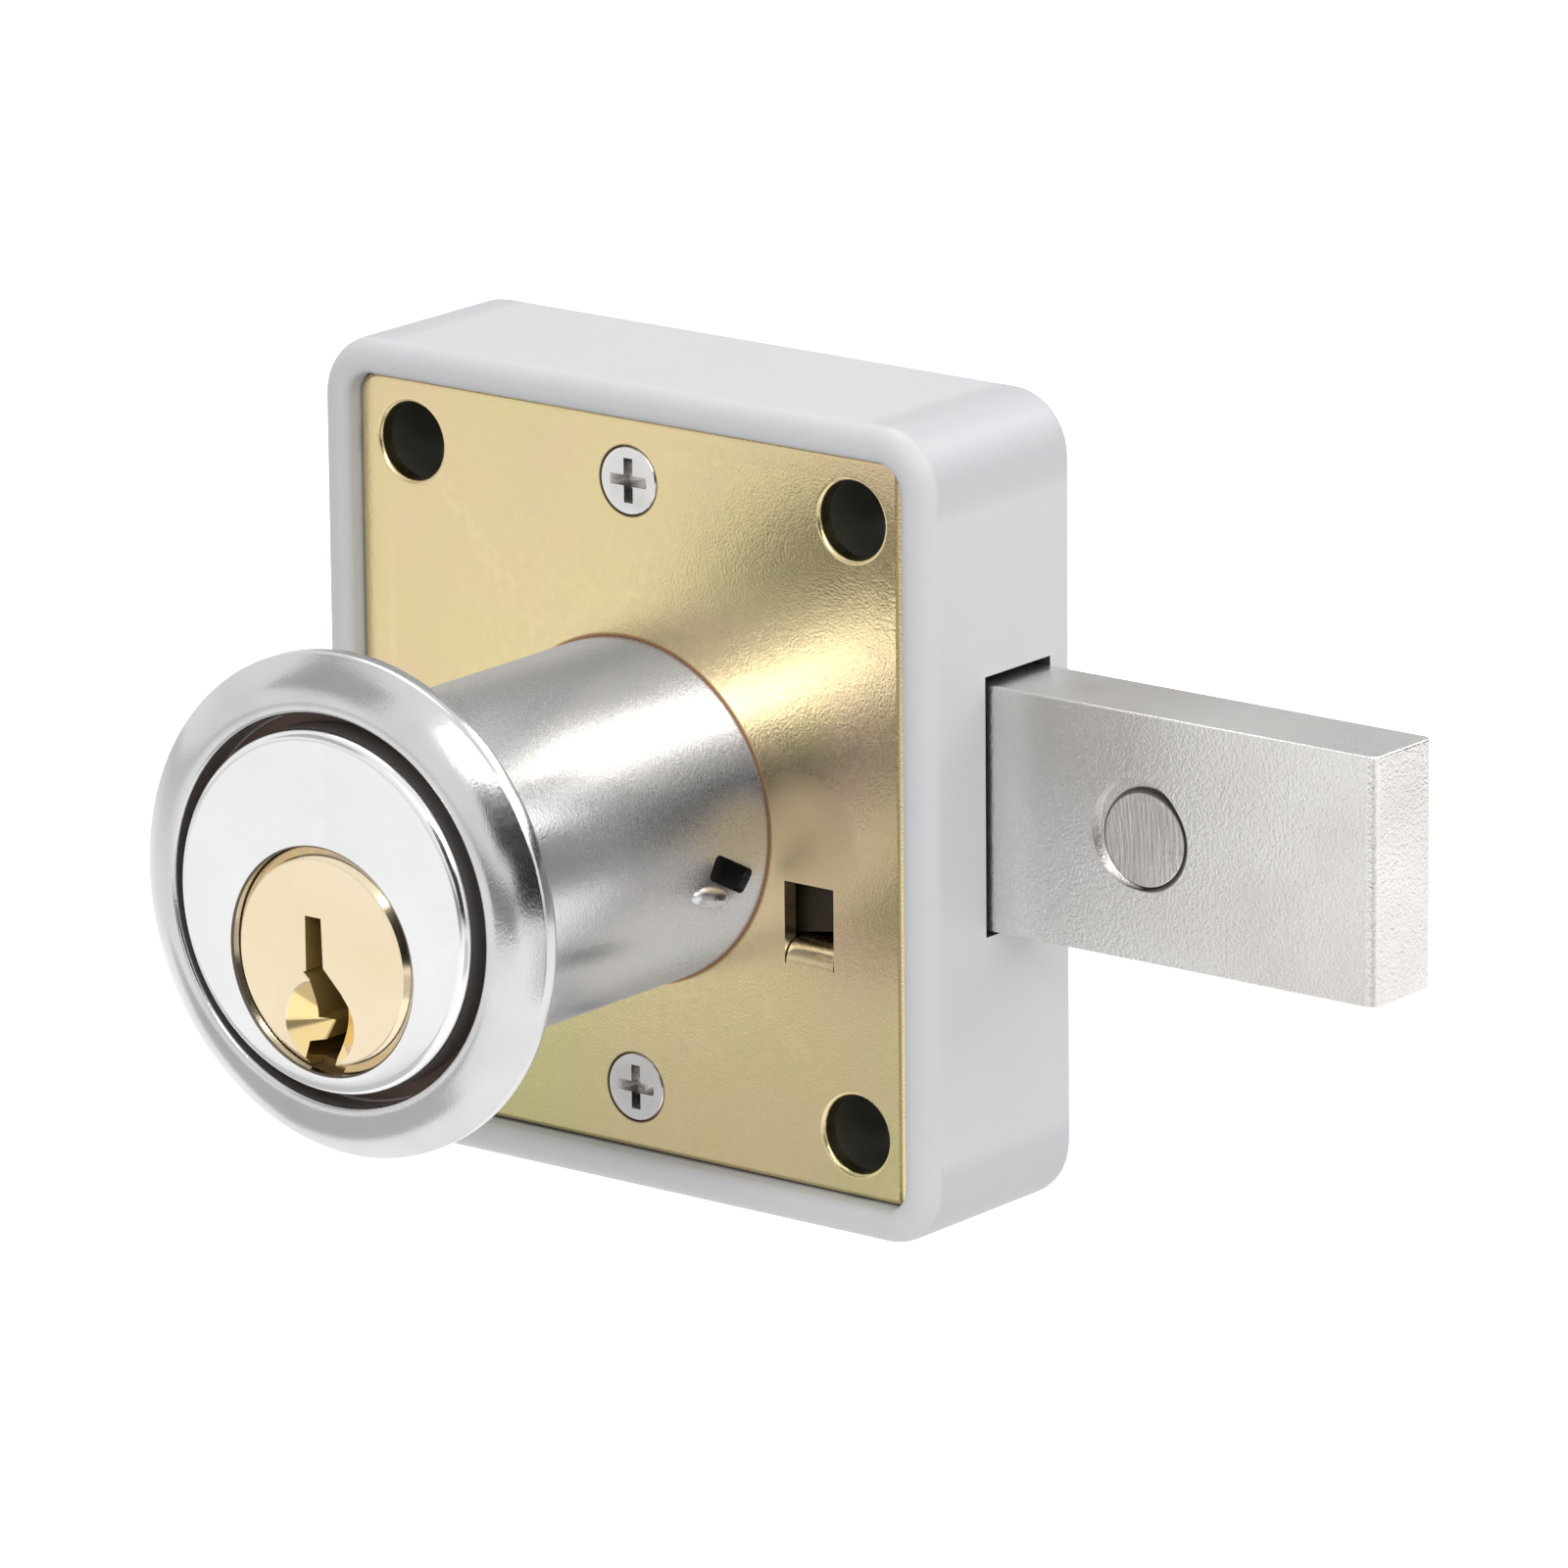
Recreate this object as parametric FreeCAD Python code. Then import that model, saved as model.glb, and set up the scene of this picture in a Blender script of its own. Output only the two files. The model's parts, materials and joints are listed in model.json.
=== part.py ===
import FreeCAD, Part
import math
import os

# Furniture rim lock with a push-through cylinder, in millimetres.
# Origin: barrel axis where it crosses the mounting plane, which is the crest of the case's rim.
# +X is the way the bolt is thrown, -Y points along the barrel to the user, +Z is up.

# Die-cast case
CASE_WIDTH = 43.4
CASE_HEIGHT = 46.7
CASE_RIGHT_X = 22.0
CASE_CENTRE_Z = 1.4
CASE_WALL = 2.0
CASE_BACK_WALL = 2.25
CASE_CORNER_R = 3.6
CASE_RIM_OUTER_R = 1.2
CASE_RIM_INNER_EDGE = 0.45
CASE_BACK_EDGE = 0.8
OPENING_CORNER_R = 1.4

# Cover plate
PLATE_RECESS = 1.2
PLATE_T = 1.0
PLATE_EDGE_GAP = 0.12
PLATE_EDGE = 0.15

# Mounting holes, one in each corner at these distances from the case's inner walls
HOLE_FROM_LEFT = 3.85
HOLE_FROM_RIGHT = 4.15
HOLE_FROM_TOP = 3.8
HOLE_FROM_BOTTOM = 3.7
HOLE_R = 2.23
HOLE_SINK_R = 4.2
HOLE_BOSS_R = 4.3

# The two screws that hold the plate, midway between the holes
SCREW_HEAD_R = 1.98
SCREW_SHANK_R = 1.25
SCREW_LENGTH = 8.5
SCREW_BOSS_R = 3.9
SCREW_EDGE_LIP = 0.15
SCREW_CROSS_WIDTH = 0.55
SCREW_CROSS_SPAN = 2.3
SCREW_CROSS_DEPTH = 0.9

# Window in the plate, with its tab bent inwards as a stop for the crank arm
WINDOW_LEFT_X = 10.95
WINDOW_WIDTH = 3.45
WINDOW_TOP_Z = -2.35
TAB_TOP_Z = -5.8
TAB_BEND_R = 0.3
TAB_SIDE_GAP = 0.08

# Barrel sleeve and cylinder housing
BARREL_REACH = 25.65
SLEEVE_R = 9.92
SLEEVE_WALL = 0.5
SLEEVE_FLANGE_R = 10.7
SLEEVE_FLANGE_T = 0.35
HEAD_R = 10.24
HEAD_T = 2.35
HEAD_EDGE = 0.3
HOUSING_END_GAP = 0.6
FIT_GAP = 0.04

# Stake that is punched through the sleeve near the plate
STAKE_Y = -2.1
STAKE_ANGLE = 8.5
STAKE_TILT = -20.0
STAKE_LENGTH = 3.2
STAKE_WIDTH = 1.7
STAKE_FLAP = 1.5
STAKE_FLAP_LEAN = 50.0
STAKE_POCKET_R = 2.3
STAKE_POCKET_DEPTH = 1.5

# Plug, its keyway and the dish that guides the key
PLUG_DROP = 2.7
PLUG_COLLAR_R = 6.35
PLUG_COLLAR_T = 1.5
PLUG_R = 5.95
PLUG_RUN_GAP = 0.05
PLUG_CHAMFER = 0.6
PLUG_END_T = 0.6
DISH_R = 2.45
DISH_DEPTH = 1.3
DISH_X = -0.22
DISH_DROP = 3.55
KEYWAY_LENGTH = 24.1

# Corners (x, z) of the key's section from the plug's axis, down one side and up the other
KEYWAY_RIGHT_SIDE = ((-0.01, 2.45), (0.09, -0.35), (1.35, -1.6), (1.85, -2.3), (1.55, -3.2), (1.25, -4.0),
                     (0.85, -5.3))
KEYWAY_LEFT_SIDE = ((-1.3, -4.8), (-0.35, -4.6), (-0.1, -3.6), (-1.03, -3.5), (-0.88, -1.15), (-1.35, -0.75),
                    (-1.13, -0.7), (-1.13, 2.45))

# Pin chambers above the plug
PIN_COUNT = 5
PIN_PITCH = 4.0
PIN_FIRST_Y = -19.5
CHAMBER_R = 1.45
PIN_R = 1.39
DRIVER_PIN_LENGTH = 2.1
DRIVER_PIN_EDGE = 0.12
KEY_PIN_SHORT = 3.3
KEY_PIN_STEP = 0.45
KEY_PIN_TIP = 0.6
KEY_CUTS = (1, 3, 0, 2, 1)
SPRING_R = 1.3
SPRING_BORE_R = 0.85
SPRING_END_GAP = 0.04
COVER_WIDTH = 4.3
COVER_T = 0.7
COVER_FLOOR_Z = 8.3
COVER_END = 1.9

# Open clip that keeps the plug in the housing
CLIP_T = 0.6
CLIP_R = 6.45
CLIP_GROOVE_DEPTH = 0.75
CLIP_OPENING = 70.0

# Crank arm on the plug's tail
ARM_GAP = 0.6
ARM_T = 1.6
ARM_HUB_R = 4.6
ARM_END_R = 2.6
CRANK_R = 13.0
CRANK_PIN_R = 1.2
CRANK_PIN_SHOULDER_R = 1.9
CRANK_PIN_SHOULDER_T = 0.5
TANG_R = 3.3
TANG_FLAT = 2.2
TAIL_SCREW_HEAD_R = 2.7
TAIL_SCREW_HEAD_T = 0.7
TAIL_SCREW_R = 1.2
TAIL_SCREW_LENGTH = 4.6
TAIL_SLOT_WIDTH = 0.6
TAIL_SLOT_DEPTH = 0.35

# Bolt
BOLT_FRONT_GAP = 0.4
BOLT_T = 5.5
BOLT_HEIGHT = 14.1
BOLT_BOTTOM_Z = -4.42
BOLT_THROW = 26.1
BOLT_EDGE_R = 0.6
BOLT_BACK_GAP = 0.15
BOLT_WEB = 1.2
POCKET_HALF_WIDTH = 4.6
POCKET_HALF_HEIGHT = 8.4
POCKET_SIDE_WALL = 0.9
POCKET_END_WALL = 1.0
SLOT_TOP_GAP = 0.5
SLOT_BOTTOM_GAP = 0.3
SLOT_FRONT_GAP = 0.3
GUIDE_GAP = 0.2
GUIDE_RIB_T = 1.5
BOLT_PIN_R = 2.75
BOLT_PIN_FROM_TIP = 15.5
BOLT_PIN_SINK_R = 3.1
BOLT_PIN_SINK_DEPTH = 0.3
BOLT_PIN_SINK_SHIFT = 0.35

# Trim ring
RING_R = 14.2
RING_RECESS_GAP = 0.76
RING_HOLE_GAP = 0.1
RING_SEAT_GAP = 0.1
RING_FLOOR_T = 0.7
RING_HEIGHT = 2.55
RING_RIM_T = 1.2
RING_CREST_WIDTH = 0.95
RING_EDGE = 0.4
RING_DOME_BANDS = 4

# Places that follow from the sizes above, along Y
plate_front = PLATE_RECESS
plate_back = plate_front + PLATE_T
arm_front = plate_back + ARM_GAP
arm_back = arm_front + ARM_T
bolt_front = arm_back + TAIL_SCREW_HEAD_T + BOLT_FRONT_GAP
bolt_back = bolt_front + BOLT_T
cavity_back = bolt_back + BOLT_BACK_GAP
case_back = cavity_back + CASE_BACK_WALL
head_front = -BARREL_REACH
head_back = head_front + HEAD_T
housing_end = plate_front - HOUSING_END_GAP
clip_front = housing_end + FIT_GAP
clip_back = clip_front + CLIP_T
plug_end = clip_back + FIT_GAP + PLUG_END_T
keyway_end = head_front + KEYWAY_LENGTH
ring_floor_front = head_back + RING_SEAT_GAP
ring_back = ring_floor_front + RING_FLOOR_T
ring_crest = ring_back - RING_HEIGHT

# The same across X and Z
case_left = CASE_RIGHT_X - CASE_WIDTH
case_top = CASE_CENTRE_Z + CASE_HEIGHT / 2
case_bottom = CASE_CENTRE_Z - CASE_HEIGHT / 2
inner_left = case_left + CASE_WALL
inner_right = CASE_RIGHT_X - CASE_WALL
inner_bottom = case_bottom + CASE_WALL
inner_top = case_top - CASE_WALL
hole_columns = (inner_left + HOLE_FROM_LEFT, inner_right - HOLE_FROM_RIGHT)
hole_rows = (inner_bottom + HOLE_FROM_BOTTOM, inner_top - HOLE_FROM_TOP)
hole_places = [(x, z) for x in hole_columns for z in hole_rows]
screw_x = sum(hole_columns) / 2
screw_places = [("bottom", hole_rows[0]), ("top", hole_rows[1])]
plug_z = -PLUG_DROP
housing_r = SLEEVE_R - SLEEVE_WALL - FIT_GAP
plug_bore_r = PLUG_R + PLUG_RUN_GAP
shear_z = plug_z + PLUG_R
bolt_top = BOLT_BOTTOM_Z + BOLT_HEIGHT
bolt_tip = CASE_RIGHT_X + BOLT_THROW
pocket_z = plug_z + CRANK_R / 2
bolt_head_left = CRANK_R - POCKET_HALF_WIDTH - POCKET_SIDE_WALL
bolt_head_right = CRANK_R + POCKET_HALF_WIDTH + POCKET_SIDE_WALL
bolt_head_bottom = pocket_z - POCKET_HALF_HEIGHT - POCKET_END_WALL
bolt_head_top = pocket_z + POCKET_HALF_HEIGHT + POCKET_END_WALL
bolt_pin_x = bolt_tip - BOLT_PIN_FROM_TIP
bolt_pin_z = BOLT_BOTTOM_Z + BOLT_HEIGHT / 2
window_right = WINDOW_LEFT_X + WINDOW_WIDTH
pin_places = [PIN_FIRST_Y + PIN_PITCH * index for index in range(PIN_COUNT)]

# How far a cutting tool runs past the face that it cuts
PAST = 1.0

Vector = FreeCAD.Vector
ALONG_X = Vector(1, 0, 0)
ALONG_Y = Vector(0, 1, 0)
ALONG_Z = Vector(0, 0, 1)


def bar_y(radius, y_start, y_end, x=0.0, z=0.0):
    """Return a round bar along Y."""
    return Part.makeCylinder(radius, y_end - y_start, Vector(x, y_start, z), ALONG_Y)


def bar_z(radius, z_start, z_end, x=0.0, y=0.0):
    """Return a round bar along Z."""
    return Part.makeCylinder(radius, z_end - z_start, Vector(x, y, z_start), ALONG_Z)


def cone_y(radius_start, radius_end, y_start, y_end, x=0.0, z=0.0):
    """Return a round cone along Y that may end in a point."""
    return Part.makeCone(radius_start, radius_end, y_end - y_start, Vector(x, y_start, z), ALONG_Y)


def block(x_start, x_end, y_start, y_end, z_start, z_end):
    """Return a block between two corners."""
    size = (x_end - x_start, y_end - y_start, z_end - z_start)
    return Part.makeBox(*size, Vector(x_start, y_start, z_start))


def edges_along(shape, direction):
    """Return the straight edges that run along a direction."""
    found = []
    for edge in shape.Edges:
        span = edge.lastVertex().Point - edge.firstVertex().Point
        if span.Length > 0 and span.cross(direction).Length < 1e-6 * span.Length:
            found.append(edge)
    return found


def edges_at_y(shape, y):
    """Return the edges that lie in the plane at y."""
    return [edge for edge in shape.Edges if abs(edge.BoundBox.YMin - y) + abs(edge.BoundBox.YMax - y) < 1e-4]


def rounded_block(x_start, x_end, y_start, y_end, z_start, z_end, corner):
    """Return a block whose four edges along Y are rounded."""
    solid = block(x_start, x_end, y_start, y_end, z_start, z_end)
    return solid.makeFillet(corner, edges_along(solid, ALONG_Y))


def prism_y(points, y_start, y_end):
    """Return an outline of (x, z) points drawn out along Y."""
    corners = [Vector(x, y_start, z) for x, z in points]
    face = Part.Face(Part.makePolygon(corners + corners[:1]))
    return face.extrude(Vector(0, y_end - y_start, 0))


def make_case():
    """Die-cast case: rim, cavity, bosses, guide ribs, bolt slot and holes."""
    case = rounded_block(case_left, CASE_RIGHT_X, 0, case_back, case_bottom, case_top, CASE_CORNER_R)
    case = case.makeFillet(CASE_RIM_OUTER_R, edges_at_y(case, 0))
    case = case.makeChamfer(CASE_BACK_EDGE, edges_at_y(case, case_back))
    cavity = rounded_block(
        inner_left, inner_right, -PAST, cavity_back, inner_bottom, inner_top, OPENING_CORNER_R
    )
    case = case.cut(cavity)
    opening = Part.Compound(cavity.slice(ALONG_Y, 0)).BoundBox
    opening.enlarge(FIT_GAP)
    case = case.makeChamfer(CASE_RIM_INNER_EDGE,
                            [edge for edge in edges_at_y(case, 0) if opening.isInside(edge.BoundBox)])
    return case.fuse(make_case_bosses()).cut(make_case_cuts()).removeSplitter()


def make_case_bosses():
    """Corner bosses, screw bosses and the two ribs that guide the bolt's head."""
    inside = cavity_back + CASE_BACK_WALL / 2
    room = block(inner_left - CASE_WALL / 2, inner_right + CASE_WALL / 2, plate_back, inside,
                 inner_bottom - CASE_WALL / 2, inner_top + CASE_WALL / 2)
    bosses = [bar_y(HOLE_BOSS_R, plate_back, inside, x, z) for x, z in hole_places]
    bosses += [bar_y(SCREW_BOSS_R, plate_back, inside, screw_x, z) for name, z in screw_places]
    upper = bolt_head_top + GUIDE_GAP
    lower = bolt_head_bottom - GUIDE_GAP
    for start in (upper, lower - GUIDE_RIB_T):
        bosses.append(block(inner_left - CASE_WALL / 2, inner_right + CASE_WALL / 2, bolt_front, inside,
                            start, start + GUIDE_RIB_T))
    sweep_r = CRANK_R + ARM_END_R + GUIDE_GAP
    arm_sweep = bar_y(sweep_r, plate_back - PAST, bolt_front, 0, plug_z)
    arm_sweep = arm_sweep.common(block(-sweep_r, sweep_r, plate_back - PAST, bolt_front,
                                       plug_z - ARM_HUB_R, plug_z + sweep_r))
    head_channel = block(inner_left, inner_right, arm_back, cavity_back, lower, upper)
    return bosses[0].multiFuse(bosses[1:]).common(room).cut([arm_sweep, head_channel])


def make_case_cuts():
    """Bolt slot, screw holes and the sunk mounting holes."""
    cuts = [block(inner_right - PAST, CASE_RIGHT_X + PAST, bolt_front - SLOT_FRONT_GAP, cavity_back,
                  BOLT_BOTTOM_Z - SLOT_BOTTOM_GAP, bolt_top + SLOT_TOP_GAP)]
    for x, z in hole_places:
        cuts.append(bar_y(HOLE_R, plate_back - PAST, case_back + PAST, x, z))
        depth = HOLE_SINK_R - HOLE_R
        cuts.append(cone_y(HOLE_R, HOLE_SINK_R + PAST, case_back - depth, case_back + PAST, x, z))
    for name, z in screw_places:
        pilot_end = plate_front + SCREW_LENGTH + 2 * FIT_GAP
        cuts.append(bar_y(SCREW_SHANK_R + FIT_GAP, plate_back - PAST, pilot_end, screw_x, z))
    return cuts[0].multiFuse(cuts[1:])


def make_cover_plate():
    """Steel cover plate with its holes, window and bent tab."""
    gap = PLATE_EDGE_GAP
    plate = rounded_block(inner_left + gap, inner_right - gap, plate_front, plate_back,
                          inner_bottom + gap, inner_top - gap, OPENING_CORNER_R - gap)
    plate = plate.makeChamfer(PLATE_EDGE, edges_at_y(plate, plate_front))
    bend_z = TAB_TOP_Z - TAB_BEND_R - PLATE_T
    cuts = [
        bar_y(SLEEVE_R, plate_front - PAST, plate_back + PAST),
        block(WINDOW_LEFT_X, window_right, plate_front - PAST, plate_back + PAST, bend_z, WINDOW_TOP_Z),
    ]
    for x, z in hole_places:
        cuts.append(bar_y(HOLE_R, plate_front - PAST, plate_back + PAST, x, z))
    for name, z in screw_places:
        cuts.append(make_screw_envelope(z, FIT_GAP))
    plate = plate.cut(cuts[0].multiFuse(cuts[1:]))
    return plate.fuse(make_tab(bend_z)).removeSplitter()


def make_tab(bend_z):
    """Tab that bends out of the plate below the window and runs back to just short of the bolt."""
    left = WINDOW_LEFT_X + TAB_SIDE_GAP
    right = window_right - TAB_SIDE_GAP
    bend_y = plate_back + TAB_BEND_R
    outer_r = TAB_BEND_R + PLATE_T
    outer = Part.makeCylinder(outer_r, right - left, Vector(left, bend_y, bend_z), ALONG_X)
    inner = Part.makeCylinder(TAB_BEND_R, right - left, Vector(left, bend_y, bend_z), ALONG_X)
    quarter = block(left, right, bend_y - outer_r, bend_y, bend_z, bend_z + outer_r)
    bend = outer.common(quarter).cut(inner)
    tongue = block(left, right, bend_y, bolt_front - SLOT_FRONT_GAP, TAB_TOP_Z - PLATE_T, TAB_TOP_Z)
    return bend.fuse(tongue)


def make_screw_envelope(z, gap):
    """Countersunk screw's outer form, grown by a gap."""
    sink = SCREW_HEAD_R - SCREW_SHANK_R
    lip_end = plate_front + SCREW_EDGE_LIP
    lip = bar_y(SCREW_HEAD_R + gap, plate_front - gap, lip_end, screw_x, z)
    head = cone_y(SCREW_HEAD_R + gap, SCREW_SHANK_R + gap, lip_end, lip_end + sink, screw_x, z)
    shank = bar_y(SCREW_SHANK_R + gap, lip_end + sink, plate_front + SCREW_LENGTH, screw_x, z)
    return lip.multiFuse([head, shank])


def make_plate_screw(z):
    """Countersunk screw with a cross recess."""
    reach = SCREW_CROSS_SPAN / 2
    half = SCREW_CROSS_WIDTH / 2
    recess_end = plate_front + SCREW_CROSS_DEPTH
    x = screw_x
    flat = block(x - reach, x + reach, plate_front - PAST, recess_end, z - half, z + half)
    upright = block(x - half, x + half, plate_front - PAST, recess_end, z - reach, z + reach)
    return make_screw_envelope(z, 0).cut(flat.fuse(upright)).removeSplitter()


def place_stake(shape):
    """Turn a shape that was made on the +X side of the barrel to where the stake is."""
    shape.rotate(Vector(0, 0, 0), ALONG_X, STAKE_TILT)
    shape.rotate(Vector(0, 0, 0), ALONG_Y, STAKE_ANGLE)
    shape.translate(Vector(0, STAKE_Y, 0))
    return shape


def make_sleeve():
    """Thin barrel tube, rolled over behind the plate, with the punched stake."""
    tube = bar_y(SLEEVE_R, head_back, plate_back)
    flange = bar_y(SLEEVE_FLANGE_R, plate_back, plate_back + SLEEVE_FLANGE_T)
    bore_r = SLEEVE_R - SLEEVE_WALL
    bore = bar_y(bore_r, head_back - PAST, plate_back + SLEEVE_FLANGE_T + PAST)
    hole = block(bore_r - SLEEVE_WALL, SLEEVE_R + SLEEVE_WALL, -STAKE_LENGTH / 2, STAKE_LENGTH / 2,
                 -STAKE_WIDTH / 2, STAKE_WIDTH / 2)
    flap = block(bore_r, SLEEVE_R, -STAKE_LENGTH / 2, STAKE_LENGTH / 2, 0, STAKE_FLAP)
    flap.rotate(Vector(SLEEVE_R, 0, 0), ALONG_Y, -STAKE_FLAP_LEAN)
    flap.translate(Vector(-FIT_GAP, 0, -STAKE_WIDTH / 2 - SLEEVE_WALL / 2))
    sleeve = tube.fuse(flange).cut(bore).cut(place_stake(hole))
    return sleeve.fuse(place_stake(flap)).removeSplitter()


def make_housing():
    """Cylinder body with its head, plug bore, pin chambers and cover slot."""
    head = bar_y(HEAD_R, head_front, head_back)
    head = head.makeChamfer(HEAD_EDGE, edges_at_y(head, head_front))
    body = bar_y(housing_r, head_back, housing_end)
    cuts = [
        bar_y(plug_bore_r, head_front - PAST, housing_end + PAST, 0, plug_z),
        bar_y(PLUG_COLLAR_R + PLUG_RUN_GAP, head_front - PAST, head_front + PLUG_COLLAR_T + PLUG_RUN_GAP,
              0, plug_z),
        cover_block(FIT_GAP, SLEEVE_R),
    ]
    cuts += [bar_z(CHAMBER_R, plug_z, COVER_FLOOR_Z + PAST, 0, y) for y in pin_places]
    pocket_floor = housing_r - STAKE_POCKET_DEPTH
    pocket = Part.makeCylinder(STAKE_POCKET_R, SLEEVE_R - pocket_floor, Vector(pocket_floor, 0, 0), ALONG_X)
    cuts.append(place_stake(pocket))
    return head.fuse(body).cut(cuts[0].multiFuse(cuts[1:])).removeSplitter()


def cover_block(gap, top):
    """Block of the chamber cover, grown by a gap, up to a given height."""
    half = COVER_WIDTH / 2 + gap
    front = pin_places[0] - COVER_END - gap
    back = pin_places[-1] + COVER_END + gap
    return block(-half, half, front, back, COVER_FLOOR_Z, top)


def make_chamber_cover():
    """Brass strip that closes the pin chambers."""
    return cover_block(0, COVER_FLOOR_Z + COVER_T)


def keyway_outline():
    """Corners of the key's section, whose foot runs out through the underside of the plug."""
    foot = -PLUG_COLLAR_R - PAST
    right_foot = (KEYWAY_RIGHT_SIDE[-1][0], foot)
    left_foot = (KEYWAY_LEFT_SIDE[0][0], foot)
    corners = KEYWAY_RIGHT_SIDE + (right_foot, left_foot) + KEYWAY_LEFT_SIDE
    return [(x, plug_z + z) for x, z in corners]


def make_plug():
    """Brass plug: collar, body, clip groove, tang, dish, keyway and pin holes."""
    collar = bar_y(PLUG_COLLAR_R, head_front, head_front + PLUG_COLLAR_T, 0, plug_z)
    collar = collar.makeChamfer(PLUG_CHAMFER, edges_at_y(collar, head_front))
    body = bar_y(PLUG_R, head_front + PLUG_COLLAR_T, plug_end, 0, plug_z)
    tang = bar_y(TANG_R, plug_end, arm_back, 0, plug_z)
    tang = tang.common(block(-TANG_FLAT, TANG_FLAT, plug_end, arm_back, plug_z - TANG_R, plug_z + TANG_R))
    dish_z = plug_z - DISH_DROP
    groove = bar_y(PLUG_R + PAST, clip_front - FIT_GAP, clip_back + FIT_GAP, 0, plug_z)
    groove = groove.cut(bar_y(PLUG_R - CLIP_GROOVE_DEPTH, clip_front - PAST, clip_back + PAST, 0, plug_z))
    cuts = [
        groove,
        prism_y(keyway_outline(), head_front - PAST, keyway_end),
        cone_y(DISH_R, 0, head_front, head_front + DISH_DEPTH, DISH_X, dish_z),
        bar_y(TAIL_SCREW_R, arm_back - TAIL_SCREW_LENGTH - FIT_GAP, arm_back + PAST, 0, plug_z),
    ]
    cuts += [bar_z(CHAMBER_R, plug_z, shear_z + PAST, 0, y) for y in pin_places]
    return collar.multiFuse([body, tang]).cut(cuts[0].multiFuse(cuts[1:])).removeSplitter()


def make_key_pin(index):
    """Brass pin in the plug, flush with the plug's round as the key lifts it, blunt below."""
    y = pin_places[index]
    length = KEY_PIN_SHORT + KEY_PIN_STEP * KEY_CUTS[index % len(KEY_CUTS)]
    top = shear_z - FIT_GAP
    shank = bar_z(PIN_R, top - length + KEY_PIN_TIP, top, 0, y)
    tip = Part.makeCone(PIN_R - KEY_PIN_TIP, PIN_R, KEY_PIN_TIP, Vector(0, y, top - length), ALONG_Z)
    plug_round = bar_y(PLUG_R - FIT_GAP, y - CHAMBER_R, y + CHAMBER_R, 0, plug_z)
    return shank.fuse(tip).common(plug_round).removeSplitter()


def make_driver_pin(index):
    """Pin above the shear line that the spring holds down on the key pin."""
    bottom = shear_z + PLUG_RUN_GAP
    pin = bar_z(PIN_R, bottom, bottom + DRIVER_PIN_LENGTH, 0, pin_places[index])
    rims = [edge for edge in pin.Edges if edge.Curve.TypeId == "Part::GeomCircle"]
    return pin.makeChamfer(DRIVER_PIN_EDGE, rims)


def make_pin_spring(index):
    """Chamber spring as a sleeve of its outer and inner size."""
    start = shear_z + PLUG_RUN_GAP + DRIVER_PIN_LENGTH + SPRING_END_GAP
    end = COVER_FLOOR_Z - SPRING_END_GAP
    outer = bar_z(SPRING_R, start, end, 0, pin_places[index])
    return outer.cut(bar_z(SPRING_BORE_R, start - PAST, end + PAST, 0, pin_places[index]))


def make_plug_clip():
    """Open spring clip in the plug's groove."""
    inner_r = PLUG_R - CLIP_GROOVE_DEPTH + FIT_GAP
    ring = bar_y(CLIP_R, clip_front, clip_back, 0, plug_z)
    ring = ring.cut(bar_y(inner_r, clip_front - PAST, clip_back + PAST, 0, plug_z))
    half = math.radians(CLIP_OPENING / 2)
    reach = CLIP_R + PAST
    wedge = [
        (0, plug_z),
        (reach * math.sin(half), plug_z - reach * math.cos(half)),
        (0, plug_z - 2 * reach),
        (-reach * math.sin(half), plug_z - reach * math.cos(half)),
    ]
    return ring.cut(prism_y(wedge, clip_front - PAST, clip_back + PAST))


def make_crank_arm():
    """Flat arm that tapers from the hub on the plug's tang to the crank pin."""
    lean = math.acos((ARM_HUB_R - ARM_END_R) / CRANK_R)
    ends = []
    for x, radius in ((0, ARM_HUB_R), (CRANK_R, ARM_END_R)):
        ends.append((x + radius * math.cos(lean), radius * math.sin(lean)))
    (hub_x, hub_z), (end_x, end_z) = ends
    web = [
        (hub_x, plug_z + hub_z),
        (end_x, plug_z + end_z),
        (end_x, plug_z - end_z),
        (hub_x, plug_z - hub_z),
    ]
    arm = bar_y(ARM_HUB_R, arm_front, arm_back, 0, plug_z)
    arm = arm.multiFuse([
        prism_y(web, arm_front, arm_back),
        bar_y(ARM_END_R, arm_front, arm_back, CRANK_R, plug_z),
    ])
    tang = bar_y(TANG_R + FIT_GAP, arm_front - PAST, arm_back + PAST, 0, plug_z)
    flat = TANG_FLAT + FIT_GAP
    tang = tang.common(block(-flat, flat, arm_front - PAST, arm_back + PAST, plug_z - ARM_HUB_R,
                             plug_z + ARM_HUB_R))
    pin_hole = bar_y(CRANK_PIN_R, arm_front - PAST, arm_back + PAST, CRANK_R, plug_z)
    return arm.cut(tang).cut(pin_hole).removeSplitter()


def make_crank_pin():
    """Pin riveted into the arm, with a shoulder, that runs in the bolt's pocket."""
    end = bolt_back - BOLT_WEB - BOLT_BACK_GAP
    pin = bar_y(CRANK_PIN_R, arm_front, end, CRANK_R, plug_z)
    shoulder = bar_y(CRANK_PIN_SHOULDER_R, arm_back, arm_back + CRANK_PIN_SHOULDER_T, CRANK_R, plug_z)
    return pin.fuse(shoulder).removeSplitter()


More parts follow.
